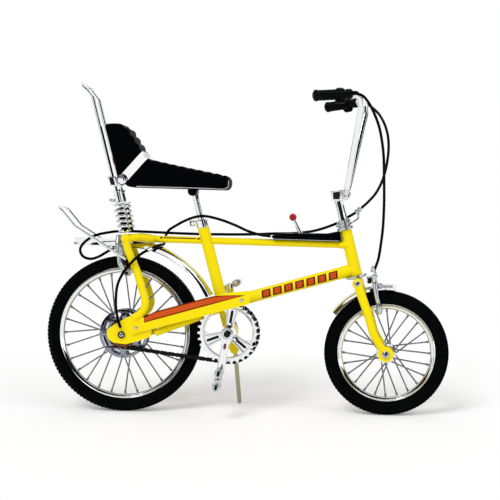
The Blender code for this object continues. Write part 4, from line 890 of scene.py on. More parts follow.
def pedals():
    """Two round-ended tread blocks on a barrel, with a near-black patch on each block's outer end as a
    painted dark reflection.
    """
    for name, side, direction, turn in (("right", -1, RIGHT_CRANK_ANGLE, RIGHT_CRANK_ANGLE),
                                        ("left", 1, LEFT_CRANK_ANGLE, LEFT_PEDAL_TURN)):
        x, z = polar(BRACKET, CRANK_LENGTH, direction)
        body = "pedal_" + name
        place = BIKE @ Matrix.Translation((x, 0, z)) @ Matrix.Rotation(-turn, 4, "Y")
        low, high = sorted((side * PEDAL_INNER, side * (PEDAL_INNER + PEDAL_WIDTH)))
        face = side * (PEDAL_INNER + PEDAL_WIDTH)
        middle = (PEDAL_LENGTH - PEDAL_BLOCK) / 2
        barrel = lathe((0, side * (CRANK_INNER + CRANK_THICKNESS + GAP), 0), (0, side, 0), [
            (0, 0.5), (0.3, 0.5), (0.4, 0.8), (0.9, 0.95), (5.2, 0.8), (5.6, 0.8), (5.8, 0.55)], 24)
        plates = [cut_plate([slot_outline((0, 0), 0, PEDAL_LENGTH - 0.3, 1.2)], y0, y0 + 0.5, 0.1)
                  for y0 in (low + 0.2, high - 0.7)]
        shapes, painted_dark_patches = [barrel, *plates], []
        for end in (-1, 1):
            outline = slot_outline((end * middle, 0), 0, PEDAL_BLOCK, PEDAL_DEPTH - 0.2)
            shapes.append(cut_plate([outline], low, high, 0.25))
            for i in range(4):
                y = low + (high - low) * (i + 0.5) / 4
                bar = slot_outline((end * middle, 0), 0, PEDAL_BLOCK - 0.3, PEDAL_DEPTH)
                shapes.append(cut_plate([bar], y - 0.35, y + 0.35, 0.15))
            # A near-black patch on the block's outer end: a painted dark reflection in the chrome.
            y0, y1 = sorted((face - side * 0.1, face + side * SKIN))
            painted_dark_patch = slot_outline((end * middle, 0), 0, PEDAL_BLOCK - 1.1, 0.8)
            painted_dark_patches.append(cut_plate([painted_dark_patch], y0, y1, 0.02))
        dress(body + "_blocks", joined(*shapes), SATIN_CHROME, body, [body], place=place)
        dress(body + "_hollows", joined(*painted_dark_patches), PAINTED_DARK, body, place=place)


# Guards

def guard_section(half, depth, wall=0.45, rim=0.22, steps=20):
    """A curved channel with rolled edges: outer arc out, inner arc back."""
    radius = (half * half + depth * depth) / (2 * depth)
    reach = math.asin(min(1.0, half / radius)) if depth <= radius else math.pi - math.asin(half / radius)
    angles = [-reach + 2 * reach * i / steps for i in range(steps + 1)]
    inner = radius - wall

    def swell(angle):
        return rim * 0.5 if abs(angle) > 0.93 * reach else 0.0
    outside = [(radius + swell(a), a) for a in angles]
    inside = [(inner - swell(a), a) for a in reversed(angles)]
    return [(r * math.sin(a), radius - r * math.cos(a)) for r, a in outside + inside]


def guards():
    """The rear guard goes over its wheel from the front and runs straight back, the front one trails."""
    centre, radius = (0.6, REAR_RADIUS - 0.6), REAR_RADIUS + 5.1
    top = centre[1] + radius
    arc = [Vector((x, 0, z)) for x, z in
           [polar(centre, radius, math.radians(26 + 64 * i / 60)) for i in range(61)]]
    tail = smooth([arc[-1], (-4.5, 0, top + 0.25), (-9.0, 0, top + 0.4), (-13.8, 0, top + 0.4)], 0.8)[1:]
    dress("rear_guard_shell", sweep(arc + tail, guard_section(half=2.9, depth=2.0)), CHROME, "frame",
          ["rear_mudguard"])
    arc = [Vector((x, 0, z)) for x, z in
           [polar(FRONT_AXLE, FRONT_RADIUS + 1.95, math.radians(82 + 61 * i / 60)) for i in range(61)]]
    dress("front_guard_shell", sweep(arc, guard_section(half=2.6, depth=1.6)), CHROME, "steering",
          ["front_mudguard"])


def stripe(name, outline, band_finish, layer):
    """A printed shape on the right face of the chain guard, each layer a hair above the last."""
    y = CHAIN_GUARD_FACE - 0.012 * layer
    dress(name, cut_plate([outline], y - 0.01, y + 0.02, 0.004), band_finish, "frame")


def guard_print():
    """The wedge on the chain guard: three orange bands between fine pale lines, inside a maroon edge."""
    low = ((6.27, 24.78), (33.77, 32.51))
    top = ((6.27, 26.27), (9.21, 27.85), (22.74, 31.61), (25.88, 32.32), (30.84, 32.48), (33.77, 32.51))

    def height(line, x):
        for (x0, z0), (x1, z1) in zip(line, line[1:]):
            if x <= x1:
                break
        return z0 + (z1 - z0) * (x - x0) / (x1 - x0)

    def band(start, end, left, right):
        columns = [left, *[x for x, _ in top if left < x < right], right]
        edges = [[(x, height(low, x) + share * (height(top, x) - height(low, x))) for x in columns]
                 for share in (start, end)]
        return edges[0] + edges[1][::-1]
    stripe("guard_print_edge", band(0.0, 1.0, 6.27, 33.7), MAROON_INK, 1)
    stripe("guard_print_lines", band(0.12, 0.86, 6.45, 32.0), PALE_INK, 2)
    for k, (start, end) in enumerate(((0.12, 0.36), (0.39, 0.61), (0.64, 0.86))):
        stripe(f"guard_print_band_{k}", band(start, end, 6.45, 32.0), ORANGE_INK, 3)


def tube_band(name, start, end, radius, low, high, band_finish, body="frame", slant=0.0, layer=1, steps=10):
    """A band of colour on a tube's right side, from low to high degrees round it, with slanted ends."""
    along = (end - start).normalized()
    side = Vector((0, -1, 0))
    up = side.cross(along).normalized()
    up = up if up.z > 0 else -up
    rings = []
    for r in (radius - 0.05, radius + SKIN * layer):
        for at in (start, end):
            rings.append([at + along * (slant * math.sin(a)) + (side * math.cos(a) + up * math.sin(a)) * r
                          for a in [math.radians(low + (high - low) * i / steps) for i in range(steps + 1)]])
    inner_start, inner_end, outer_start, outer_end = rings
    shape = skin([inner_start + outer_start[::-1], inner_end + outer_end[::-1]])
    dress(name, shape, band_finish, body, edge=30.0)


def frame_print():
    """Slanted bars with dark outlines down the big tube, and fine lines on the slim one."""
    axis = (DOWN_TUBE[0] - DOWN_TUBE[1]).normalized()
    for k in range(7):
        start = DOWN_TUBE[1] + axis * (11.1 + 3.15 * k)
        tube_band(f"down_tube_bar_edge_{k}", start, start + axis * 2.5, DOWN_TUBE_RADIUS, -43, 36,
                   MAROON_INK, slant=0.35)
        tube_band(f"down_tube_bar_{k}", start + axis * 0.45, start + axis * 2.05, DOWN_TUBE_RADIUS,
                   -30, 23, ORANGE_INK, slant=0.35, layer=2)
    for name, left, right, low, high in (("line", 10.6, 19.6, 18, 38), ("tail", 9.6, 10.3, 12, 44),
                                         ("head", 19.9, 20.6, 12, 44)):
        points = [Vector((x, 0, top_tube_z(x))) for x in (left, right)]
        tube_band("top_tube_" + name, *points, TOP_TUBE_RADIUS, low, high, MAROON_INK, slant=0.3)


# Steering

def bar_path():
    """The handlebar's middle line, from the end of the right grip to the end of the left one."""
    x, z = BAR_CLAMP
    left = [Vector(p) for p in ((x, 3.0, z), (x + 0.6, 4.9, z + 2.2), (65.2, 14.2, 82.6),
                                (65.0, 15.4, 85.5), GRIP_START, BAR_END)]
    return rounded([Vector((p.x, -p.y, p.z)) for p in reversed(left)] + left, 2.2, 10)


def handlebar():
    """The tall bar with its grips and levers, which are made along X and then laid on the bar's ends."""
    dress("handlebar_tube", tube(bar_path(), BAR_RADIUS, 28), CHROME, "steering", ["handlebar"])
    along = (BAR_END - GRIP_START).normalized()
    start = GRIP_START + along * 0.2
    length = (BAR_END + along * 0.9 - start).length
    rows = [(0.0, 0.9), (0.05, 1.3), (0.2, 1.36), (1.2, 1.36), (1.35, 1.15), (2.2, 1.15), (2.35, 1.38),
            (4.4, 1.38), (4.55, 1.2), (5.2, 1.22), (9.8, 1.28), (10.3, 1.5), (10.7, 1.52),
            (length - 0.3, 1.42), (length, 1.0)]
    out = (Vector((0, 1, 0)) - along * along.y).normalized()
    grip_frame = Matrix((along, out, along.cross(out))).transposed().to_4x4()
    grip_frame.translation = start
    line = hidden_path("rib_path", [(4.9, 0, 0), (9.9, 0, 0)])
    rib_section = [(0.11 * math.cos(b), 1.27 + 0.13 * math.sin(b))
                   for b in [math.tau * j / 8 for j in range(8)]]
    rib = skin([[(x, r * math.cos(a), r * math.sin(a)) for x, r in rib_section]
                for a in [math.tau * i / 24 for i in range(24)]], closed=True)
    ribs = grown(ALONG_PATH, rib, Path=line, Count=12, Step=1, Phase=0, Finish=GRIP)
    bpy.data.objects.remove(line)
    # The lever lies along the outer side of the grip, hinged in a clamp with a bump above and below
    clamp = [(2.35, 1.4), (2.45, 1.62), (4.15, 1.62), (4.25, 1.4)]
    blade_path = smooth([Vector(p) for p in ((0.2, 2.0, 0), (1.6, 2.35, 0), (4.4, 2.45, 0), (7.4, 2.75, 0),
                                            (10.4, 2.5, 0), (10.9, 2.4, 0))], 0.4)
    blade_sections = []
    for i in range(len(blade_path)):
        wide = 0.5 - 0.1 * i / len(blade_path)
        blade_sections.append([(0.26 * math.sin(math.tau * j / 12), wide * math.cos(math.tau * j / 12))
                               for j in range(12)])
    housing = tube([(-0.9, 2.0, 0), (-0.1, 2.0, 0), (1.2, 2.2, 0)], [0.42, 0.6, 0.62], 16)
    bumps = [sweep([Vector((x, 0, z)) for x, z in points], circle(radius, 16)) for radius, points in (
        (0.55, ((2.1, 1.3), (2.4, 1.7), (4.1, 1.8), (4.6, 1.3))),
        (0.42, ((2.4, -1.1), (2.7, -1.35), (3.9, -1.35), (4.2, -1.1))))]
    for name, side in SIDES:
        place = STEERED @ Matrix.Diagonal((1, side, 1, 1)) @ grip_frame
        lever = joined(lathe((0, 0, 0), (1, 0, 0), clamp, 32), sweep(blade_path, blade_sections),
                       housing.copy(), *[block.copy() for block in bumps])
        rib_copy = bmesh.new()
        rib_copy.from_mesh(ribs)
        grip = joined(lathe((0, 0, 0), (1, 0, 0), rows, 32), rib_copy)
        for label, shape, surface, node_name in (("grip_", grip, GRIP, "grip_"),
                                                 ("lever_", lever, ABS, "brake_lever_")):
            if side < 0:
                bmesh.ops.reverse_faces(shape, faces=shape.faces)
            dress(label + name + "_moulding", shape, surface, "steering", [node_name + name], place=place)
    for spare in (housing, *bumps):
        spare.free()


def steering_head():
    """The stem with its clamp block, the rings at both ends of the head tube, and the cable hanger."""
    quill = lathe(on_head(-2.9), UP_AXIS, [(0, 1.25), (5.5, 1.25), (5.6, 1.32), (6.9, 1.32), (7.0, 1.1)], 40)
    x, z = BAR_CLAMP
    rounding = [polar(BAR_CLAMP, 1.5, math.radians(a)) for a in range(-100, 86, 8)]
    block = cut_plate([[(x - 3.8, z - 1.7), *rounding, (x - 1.2, z + 1.35), (x - 4.0, z + 1.05)]],
                      -1.7, 1.7, 0.2)
    bolt = lathe(on_head(-10.2), UP_AXIS, [(0, 1.0), (0.7, 1.0), (0.8, 0.85)], 6)
    nose = joined(*[turned([(1.25 + a, side * 1.7 + b) for a, b in circle(0.2, 10)], BAR_CLAMP, 48)
                    for side in (-1, 1)])
    # A near-black stripe down the quill's near side: a painted dark reflection in the chrome.
    tube_band("quill_flute", on_head(-2.8), on_head(-8.1), radius=1.25, low=-22, high=22, band_finish=PAINTED_DARK,
               body="steering")
    # Near-black plates on both sides of the clamp block: painted shade.
    for name, side in reversed(SIDES):
        low, high = sorted((side * 1.65, side * (1.7 + SKIN)))
        cheek = cut_plate([[(x - 3.3, z - 1.2), (x - 1.5, z - 1.2), (x - 1.4, z + 0.95),
                            (x - 3.4, z + 0.7)]], low, high, 0.02)
        dress("stem_cheek_" + name, cheek, PAINTED_DARK, "steering")
    dress("stem_body", joined(quill, block, bolt, nose), CHROME, "steering", ["stem"])
    rings = [(0.1, 2.25), (0.2, 2.35), (0.75, 2.35), (0.85, 2.2), (0.9, 1.75), (1.2, 1.75), (1.3, 2.25),
             (1.4, 2.4), (1.75, 2.4), (1.85, 2.2), (1.95, 1.7), (2.2, 1.7), (2.3, 1.9), (2.75, 1.9),
             (2.85, 1.4)]
    cup = lathe(on_head(0.0), UP_AXIS, rings, 48)
    hanger_path = rounded([on_head(-1.6) + Vector((1.2, 0.6, 0)), HANGER_EYE + Vector((-0.1, 0, -2.3)),
                           HANGER_EYE], 0.8, 8)
    strip = sweep(hanger_path, [(-0.7, -0.18), (0.7, -0.18), (0.7, 0.18), (-0.7, 0.18)])
    eye_axis = Vector((0.75, -0.1, 0.65)).normalized()
    ferrule = lathe(HANGER_EYE - eye_axis * 0.9, eye_axis, [
        (0, 0.7), (0.1, 0.82), (0.6, 0.82), (0.7, 0.62), (1.2, 0.62), (1.3, 0.8), (1.7, 0.8),
        (1.8, 0.65)], 20)
    dress("headset_top_rings", joined(cup, strip, ferrule), SATIN_CHROME, "frame", ["headset_upper"])
    crown_race = lathe(on_head(HEAD_LENGTH + 0.1), -UP_AXIS, [
        (0, 2.4), (0.08, 2.85), (0.2, 3.0), (0.5, 3.0), (0.6, 2.7), (0.75, 2.7), (0.92, 2.3)], 48)
    dress("headset_low_ring", crown_race, SATIN_CHROME, "frame", ["headset_lower"])


def brakes():
    """Side-pull calipers: flattened arms that hold the brake shoes, with their pinch bolts."""
    flat = [(0.62 * math.cos(math.tau * i / 16), 0.4 * math.sin(math.tau * i / 16)) for i in range(16)]
    shoe = [(0, 0.7), (0.7, 0.75), (0.8, 0.6), (1.6, 0.5)]
    arm = [(69.9, 2.75, 29.8), (69.4, 3.3, 31.8), (68.7, 3.4, 36.0), (68.3, 2.4, 37.8), (68.3, 0, 38.0)]
    shapes = [sweep(rounded(across(arm), 1.2, 6), flat, (1, 0, 0)),
              lathe((69.3, 0, 38.2), (-0.94, 0, -0.34), [(0, 0.7), (0.4, 0.7), (0.5, 0.4), (3.0, 0.4)], 16),
              lathe((68.1, -0.9, 38.9), (0, 0, 1), [
                  (0, 0.5), (0.2, 0.62), (1.0, 0.62), (1.1, 0.42), (1.7, 0.42)], 16)]
    for side in (1, -1):
        shapes.append(lathe((69.9, side * 3.3, 30.6), (0.1, -side * 0.12, -1), [
            (0, 0.45), (0.5, 0.7), (1.4, 0.85), (2.4, 0.8), (2.9, 0.6), (3.1, 0.25)], 20))
        shapes.append(lathe((70.1, side * 1.7, 28.6), (0, side, 0), shoe, 16))
    shapes.append(tube([(69.0, -1.9, 35.4), (73.6, -2.1, 35.3)], 0.26, 10))
    shapes.append(lathe((69.2, -1.9, 35.4), (1, 0, 0), [(0, 0.4), (0.3, 0.62), (1.4, 0.62), (1.7, 0.4)], 12))
    # The pinch bolt is near-black: painted shade.
    pinch = lathe((67.3, -2.6, 35.9), (0, 0.2, 1), [(0, 0.5), (0.1, 0.66), (1.3, 0.66), (1.4, 0.5)], 6)
    dress("front_pinch_bolt", pinch, PAINTED_DARK, "steering")
    dress("front_caliper", joined(*shapes), SATIN_CHROME, "steering", ["front_brake"])

    arm = [(0.7, 2.7, 37.8), (-0.9, 3.85, 40.6), (-1.6, 3.85, 46.0), (-1.6, 2.9, 48.2), (-1.6, 0, 48.2)]
    shapes = [sweep(rounded(across(arm), 1.0, 6), flat, (1, 0, 0)),
              tube([(-2.3, 0, 48.0), (0.05, 0, 48.0)], 0.38, 16)]
    pinches = []
    for side in (1, -1):
        shapes.append(lathe((0.7, side * 1.7, 37.8), (0, side, 0), shoe, 16))
        shapes.append(lathe((-0.6, side * 3.95, 41.4), (0.45, 0, -0.9), [
            (0, 0.4), (0.3, 0.75), (2.4, 0.8), (2.7, 0.5)], 16))
        pinches.append(lathe((0.4, side * 3.7, 41.0), (0, side, 0), [
            (0, 0.6), (0.1, 0.75), (0.9, 0.75), (1.0, 0.6)], 6))
        pinches.append(lathe((0.9, side * 3.0, 38.0), (0, side, 0), [
            (0, 0.35), (0.1, 0.45), (0.6, 0.45), (0.7, 0.3)], 12))
    # The pinch bolts are near-black: painted shade.
    dress("rear_pinch_bolts", joined(*pinches), PAINTED_DARK, "frame")
    dress("rear_caliper", joined(*shapes), SATIN_CHROME, "frame", ["rear_brake"])


def tube_ends():
    """Where the frame's tubes meet: swellings on the head tube, and sockets above the rear stays."""
    x = HEAD.x + 0.95
    top = Vector((x, 0, top_tube_z(x)))
    back = Vector((-1.0, 0, 0.02)).normalized()
    boss = lathe(top + back * -0.55, back, [
        (0, 0.35), (0.12, 0.8), (0.4, 1.05), (0.9, 1.15), (3.2, 1.0), (3.4, 0.5)], 32)
    for vert in boss.verts:
        vert.co.y *= 1.62
    axis = (DOWN_TUBE[1] - DOWN_TUBE[0]).normalized()
    start = DOWN_TUBE[0] - axis * 1.2
    big = lathe(start, axis, [(0, 1.0), (0.15, 1.4), (0.5, 1.68), (3.9, 1.72), (4.0, 1.55)], 40)
    for vert in big.verts:
        vert.co.y *= 1.03
    sockets = [lathe((0.75, side * 3.2, TOP_TUBE_REAR_Z), (0, side, 0), [
        (0, 1.0), (0.1, 1.16), (2.15, 1.16), (2.3, 1.0), (2.35, 0.75), (2.4, 0.5)], 32) for side in (-1, 1)]
    dress("tube_end_swellings", joined(boss, big, *sockets), ENAMEL, "frame")


# Seat

def seat_outline():
    """Side view of the seat, clockwise from the top of its back: (x, z, share of roll height)."""
    front = rounded([(-1.6, 0, 78.8), (1.1, 0, 77.3), (6.6, 0, 68.9), (14.0, 0, 67.3), (27.8, 0, 64.5),
                     (29.1, 0, 63.6)], 1.8, 8)
    length = sum((b - a).length for a, b in zip(front, front[1:]))
    rolls = round(length / ROLL_PITCH)
    top = [(p.x, p.z, abs(math.sin(math.pi * i / 10)))
           for i, p in enumerate(evenly(front, length / (rolls * 10)))]
    under = rounded([(29.15, 0, 63.2), (29.1, 0, 61.9), (28.2, 0, 60.9), (20.2, 0, 61.1), (10.0, 0, 61.4),
                     (1.5, 0, 61.6), (-1.3, 0, 64.9), (-3.1, 0, 71.5), (-4.9, 0, 78.2), (-4.2, 0, 78.75),
                     (-1.9, 0, 78.85)], 0.9, 4)
    return top + [(p.x, p.z, 0.0) for p in evenly(under, 0.8)]


def seat_half(x):
    """Half the seat's width at x: it narrows by a fifth towards the nose."""
    return SADDLE_HALF * (1.0 - 0.2 * min(1.0, max(0.0, (x - 6.0) / 22.0)))


def saddle():
    """The seat pad with its rolls, its piping and its base trim."""
    outline = seat_outline()
    normals = []
    for i in range(len(outline)):
        (x0, z0, _), (x1, z1, _) = outline[i - 2], outline[(i + 2) % len(outline)]
        normals.append(Vector((z0 - z1, 0, x1 - x0)).normalized())
    # Columns: share of the half width, inset of the outline, share of the roll height
    half = [(1.0, 0.62, 0.0), (0.99, 0.36, 0.0), (0.965, 0.15, 0.2), (0.93, 0.04, 0.7), (0.89, 0.0, 1.0),
            (0.78, 0.0, 1.0), (0.55, 0.0, 1.0), (0.28, 0.0, 1.0), (0.0, 0.0, 1.0)]
    columns = half + [(-share, inset, roll) for share, inset, roll in reversed(half[:-1])]
    rings = [[Vector((x, share * seat_half(x), z)) - normal * (inset - ROLL_HEIGHT * lump * roll)
              for (x, z, lump), normal in zip(outline, normals)] for share, inset, roll in columns]
    shape = skin(rings)
    bmesh.ops.triangulate(shape, faces=[f for f in shape.faces if len(f.verts) > 4], ngon_method="EAR_CLIP")
    dress("seat_pad", shape, VINYL, "frame", ["saddle"], edge=50.0)
    # Piping where the ribbed top meets the sides, and a foil trim along the base, as (x, z) points
    piping = [(8.6, 67.6), (14.2, 66.5), (27.6, 63.9)]
    base = [(28.9, 63.4), (28.75, 61.7), (27.9, 61.15), (20.2, 61.4), (4.0, 61.75)]
    for name, side in SIDES:
        for label, radius, surface, points in (("seat_piping_", 0.16, ABS, piping),
                                               ("seat_base_trim_", 0.11, TRIM, base)):
            path = [Vector((p.x, side * 0.985 * seat_half(p.x), p.z))
                    for p in smooth([(x, 0, z) for x, z in points], 1.0)]
            dress(label + name, tube(path, radius, 10), surface, "frame")


def seat_post():
    """The post with the lug that carries the seat, and the clamp round the top of the seat tube."""
    along = Vector((-7.5, 0, 28.5)).normalized()
    lug = Vector((19.126, 0, 60.0))
    post = lathe(lug - along * 15.5, along, [(0, POST_RADIUS), (15.2, POST_RADIUS)], 28)
    dress("seat_post_tube", post, CHROME, "frame", ["seat_post"])
    pin = lathe(lug + Vector((-0.35, -2.7, 0.6)), (0, 1, 0), [
        (0, 1.0), (0.15, 1.3), (5.25, 1.3), (5.4, 1.0)], 32)
    dress("seat_lug_pin", pin, ABS, "frame", ["seat_lug"])
    collar = lathe(Vector((21.6, 0, 50.6)) + along * 0.1, along, [
        (0, 1.72), (0.1, 1.82), (1.9, 1.82), (2.0, 1.72), (2.15, 1.3)], 40)
    ears = cut_plate([[(17.9, 50.9), (20.2, 51.0), (20.0, 52.6), (17.8, 52.5)]], -0.75, 0.75, 0.12)
    bolt = lathe((18.75, -1.0, 51.75), (0, 1, 0), [(0, 0.5), (0.1, 0.6), (1.9, 0.6), (2.0, 0.5)], 6)
    # A near-black panel between the collar's ears: painted shade in the recess.
    panel = cut_plate([[(18.05, 51.1), (19.3, 51.15), (19.2, 52.4), (17.95, 52.3)]], -0.8, -0.7, 0.02)
    dress("seat_collar_recess", panel, PAINTED_DARK, "frame")
    dress("seat_collar", joined(collar, ears, bolt), CHROME, "frame", ["seat_clamp"])


def seat_spring(name, foot, axis):
    """A coil spring with a cup at each end."""
    coil = grown(COIL, bmesh.new(), **{
        "Turns": float(SPRING_TURNS), "Foot Radius": SPRING_FOOT_RADIUS, "Top Radius": SPRING_TOP_RADIUS,
        "Length": SPRING_LENGTH, "Wire": SPRING_WIRE, "Finish": CHROME})
    coil.transform(Matrix.Translation(foot) @ axis.to_track_quat("Z", "Y").to_matrix().to_4x4())
    dress("coil_spring_" + name, coil, None, "frame", ["spring_" + name])
    cup = [(0, 0.8), (0.1, 1.5), (0.35, 1.6), (0.55, 1.3), (0.7, 0.7)]
    cups = [lathe(foot + axis * at, axis * way, cup, 32) for at, way in ((0.2, -1), (6.9, 1))]
    dress("spring_cups_" + name, joined(*cups), CHROME, "frame")


def seat_fittings():
    """The hoop behind the seat, the springs at its feet, and the brackets and bolts that hold the seat."""
    leg = [Vector((x, HOOP_HALF, z)) for x, z in HOOP_LEG]
    dress("back_hoop", tube(rounded(across(leg), 2.4, 10), HOOP_RADIUS, 24), CHROME, "frame", ["sissy_bar"])
    spring_axis = (leg[1] - leg[0]).normalized()
    leg_axis = (leg[2] - leg[1]).normalized()
    for name, side in SIDES:
        foot = Vector((leg[0].x, side * HOOP_HALF, leg[0].z)) + spring_axis * 0.4
        seat_spring(name, foot, spring_axis)
        low, high = sorted((side * 5.4, side * (5.5 + SKIN)))
        # A near-black window on each bracket's outer face: painted shade.
        window = cut_plate([[(-3.15, 62.1), (-1.95, 62.1), (-2.55, 64.15), (-3.75, 64.15)]], low, high, 0.02)
        dress("hoop_bracket_window_" + name, window, PAINTED_DARK, "frame")
        collar = lathe((leg[1].x, side * HOOP_HALF, leg[1].z), leg_axis, [
            (0, 1.1), (0.1, 2.1), (0.5, 2.2), (0.7, 1.2), (0.8, 0.85), (3.4, 0.85), (3.5, 1.15), (4.0, 1.15),
            (4.1, 0.8)], 28)
        nut = lathe((-1.6, side * HOOP_HALF, 58.0), (-0.98, 0, -0.1), [
            (0, 0.45), (1.3, 0.45), (1.35, 0.7), (2.0, 0.7), (2.1, 0.5)], 8)
        dress("hoop_collar_" + name, joined(collar, nut), CHROME, "frame")
        boss = lathe((0.05, side * 5.4, 63.6), (0, side, 0), [
            (0, 1.25), (1.2, 1.25), (1.3, 1.1), (1.32, 0.75), (1.5, 0.7), (1.55, 0.5)], 32)
        washer = lathe((0.05, side * 5.5, 63.6), (0, side, 0), [(0, 1.5), (1.0, 1.5), (1.05, 1.4)], 32)
        dress("seat_side_bolt_" + name, boss, CHROME, "frame")
        # The washer under each bolt is near-black: painted shade.
        dress("seat_side_washer_" + name, washer, PAINTED_DARK, "frame")
        guide = lathe(foot, spring_axis, [(0, 0.85), (SPRING_LENGTH - 0.6, 0.85)], 20)
        dress("spring_guide_" + name, guide, ABS, "frame")
        low, high = sorted((side * 3.7, side * 5.5))
        block = cut_plate([[(-3.55, 61.9), (-1.35, 61.9), (-2.0, 64.4), (-4.2, 64.4)]], low, high, 0.15)
        dress("hoop_bracket_" + name, block, CHROME, "frame", ["hoop_clamp_" + name])


def rack():
    """The wire hoop of the rack over the rear guard."""
    hoop = rounded(across([(1.0, 4.9, 41.9), (-13.2, 4.9, 50.9), (-17.6, 4.9, 56.2)]), 1.6, 10)
    dress("rack_wire", tube(hoop, 0.42, 16), CHROME, "frame", ["rear_rack"])


# Cables, from the lever or the console to the far end

FRONT_CABLE = [(63.9, -18.2, 86.1), (65.8, -17.5, 85.4), (67.4, -16.2, 83.5), (68.7, -14.2, 80.9),
               (69.8, -12.2, 77.9), (70.5, -10.2, 74.5), (71, -8.2, 70), (71.1, -5.9, 64.1),
               (71.1, -4, 57.6), (70.8, -2.3, 51.1), (70.2, -1.2, 46.1), (69.6, -0.6, 42.5),
               (68.9, -0.2, 40.4), (68.4, 0, 38.8)]
STEERED_CABLE = [(63.9, 18.2, 86.1), (66.3, 17.4, 85.1), (68.7, 15.8, 82.9), (70.3, 14.4, 80.3),
                 (71.4, 13, 77.1), (71.8, 11.4, 73.3), (71.4, 9.4, 68.5), (70.3, 7.4, 64),
                 (68.6, 5.2, 60.4), (66.5, 3.1, 57.9), (64.8, 1.9, 56.3)]
REAR_CABLE = [(64.4, 1.95, 55.95), (63.5, 2.07, 55.17), (61.6, 2.6, 54), (58, 3.3, 52), (54, 3.3, 50.5),
              (50.7, 3.1, 49.7), (46, 3, 49.2), (41, 2.8, 49.1), (36, 1.8, 48.9), (30, 1.7, 48.8),
              (26, 2.2, 48.8), (21.5, 2.3, 48.8), (17.7, 1.7, 48.9), (12, 1.2, 49.1), (5, 0.8, 49.4),
              (1, 0, 49.5), (-2.2, -1.2, 49.45), (-5.2, -2.4, 49), (-7.6, -3.3, 48.4), (-9.8, -3.75, 47.2),
              (-11.4, -3.8, 45.6), (-11.9, -3.8, 44.2), (-11.1, -3.8, 42.6), (-9.1, -3.8, 41.9),
              (-6.8, -3.8, 42.5), (-4.4, -3.85, 43.9), (-2.5, -3.85, 44.9)]
GEAR_CABLE = [(40.2, -1.2, 48.4), (37.3, -1.5, 48.8), (34, -1.8, 49.8), (30.5, -2.2, 51.4),
              (26.4, -2.5, 52.9), (22.3, -2.4, 53.8), (19.4, -1.8, 53.5), (16.4, -0.7, 52.4),
              (13.7, 0.7, 51), (11.8, 1.8, 49.8), (10.9, 2.1, 48.2), (10.7, 1.6, 46.7), (10.6, 0, 45.9),
              (10.1, -1.3, 45.9), (9.3, -2.5, 45.6), (8.2, -3.5, 45.1), (6.8, -4.7, 44.4),
              (4.6, -6.3, 42.9), (2.3, -6.5, 40.6), (0.3, -6.5, 38), (-1.2, -6.45, 34.4),
              (-1.5, -6.45, 29.4), (-0.9, -6.45, 25.4), (-0.2, -6.4, 23.3)]


def cables():
    """The cable sleeves, each a smooth tube through its table of points."""
    def sleeve(points):
        return tube(smooth(points, 0.7), CABLE_RADIUS, 12)
    dress("front_brake_sleeve", sleeve(FRONT_CABLE), SLEEVE, "steering", ["front_brake_cable"])
    dress("rear_brake_sleeve", sleeve(REAR_CABLE), SLEEVE, "frame", ["rear_brake_cable"])
    dress("gear_sleeve", sleeve(GEAR_CABLE), SLEEVE, "frame", ["gear_cable"])
    # The loop between the left lever and the hanger is laid with the handlebar at rest, as a fixed mesh
    mesh = mesh_of(sleeve(STEERED_CABLE), "steered_sleeve")
    mesh.transform(STEERED)
    mesh.materials.append(SLEEVE)
    mesh.shade_smooth()
    loop = linked(bpy.data.objects.new("steered_sleeve", mesh))
    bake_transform(loop)
    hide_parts("steered_cable")
    clip = lathe((6.7, -4.8, 44.35), (0.6, 0.62, 0.3), [
        (0, 0.45), (0.05, 0.58), (1.5, 0.58), (1.55, 0.45)], 16)
    dress("gear_cable_clip", clip, CHROME, "frame")


def console():
    """The shift console on the top tube. Rows are (x, height above the tube's middle line)."""
    rows = [(41.0, 1.05), (59.55, 1.05), (59.0, 3.55), (57.9, 3.5), (55.8, 3.0), (42.5, 2.68), (40.35, 1.83)]
    outline = [(x, top_tube_z(x) + rise) for x, rise in rows]
    dress("console_body", cut_plate([outline], -2.2, 2.2, 0.3), ABS, "frame", ["gear_console"])
    plate = skin([[Vector((x, y, z)) for x, y in ((44.2, -1.5), (56.5, -1.5), (56.5, 1.5), (44.2, 1.5))]
                  for z in (49.05, 49.32)])
    dress("console_quadrant", plate, SATIN_CHROME, "frame")
    foot, top = Vector((48.5, 0, 48.8)), Vector((46.2, 0, 53.65))
    along = (top - foot).normalized()
    stick = lathe(foot, along, [(0, 0.6), ((top - foot).length, 0.42)], 16)
    ball = [(0.95 + 1.02 * math.sin(a), max(0.05, 1.02 * math.cos(a)))
            for a in [math.radians(degrees) for degrees in range(-86, 87, 12)]]
    knob = lathe(top - along * 0.95, along, ball, 28)
    dress("shift_stick", stick, CHROME, "frame")
    dress("shift_knob", knob, RED, "frame", ["gear_lever"])


# Small fasteners

def cross_head():
    """A domed screw head one millimetre across, facing -Y."""
    return lathe((0, 0.15, 0), (0, -1, 0), [
        (0, 0.5), (0.2, 0.5), (0.28, 0.44), (0.34, 0.3), (0.36, 0.02)], 24)


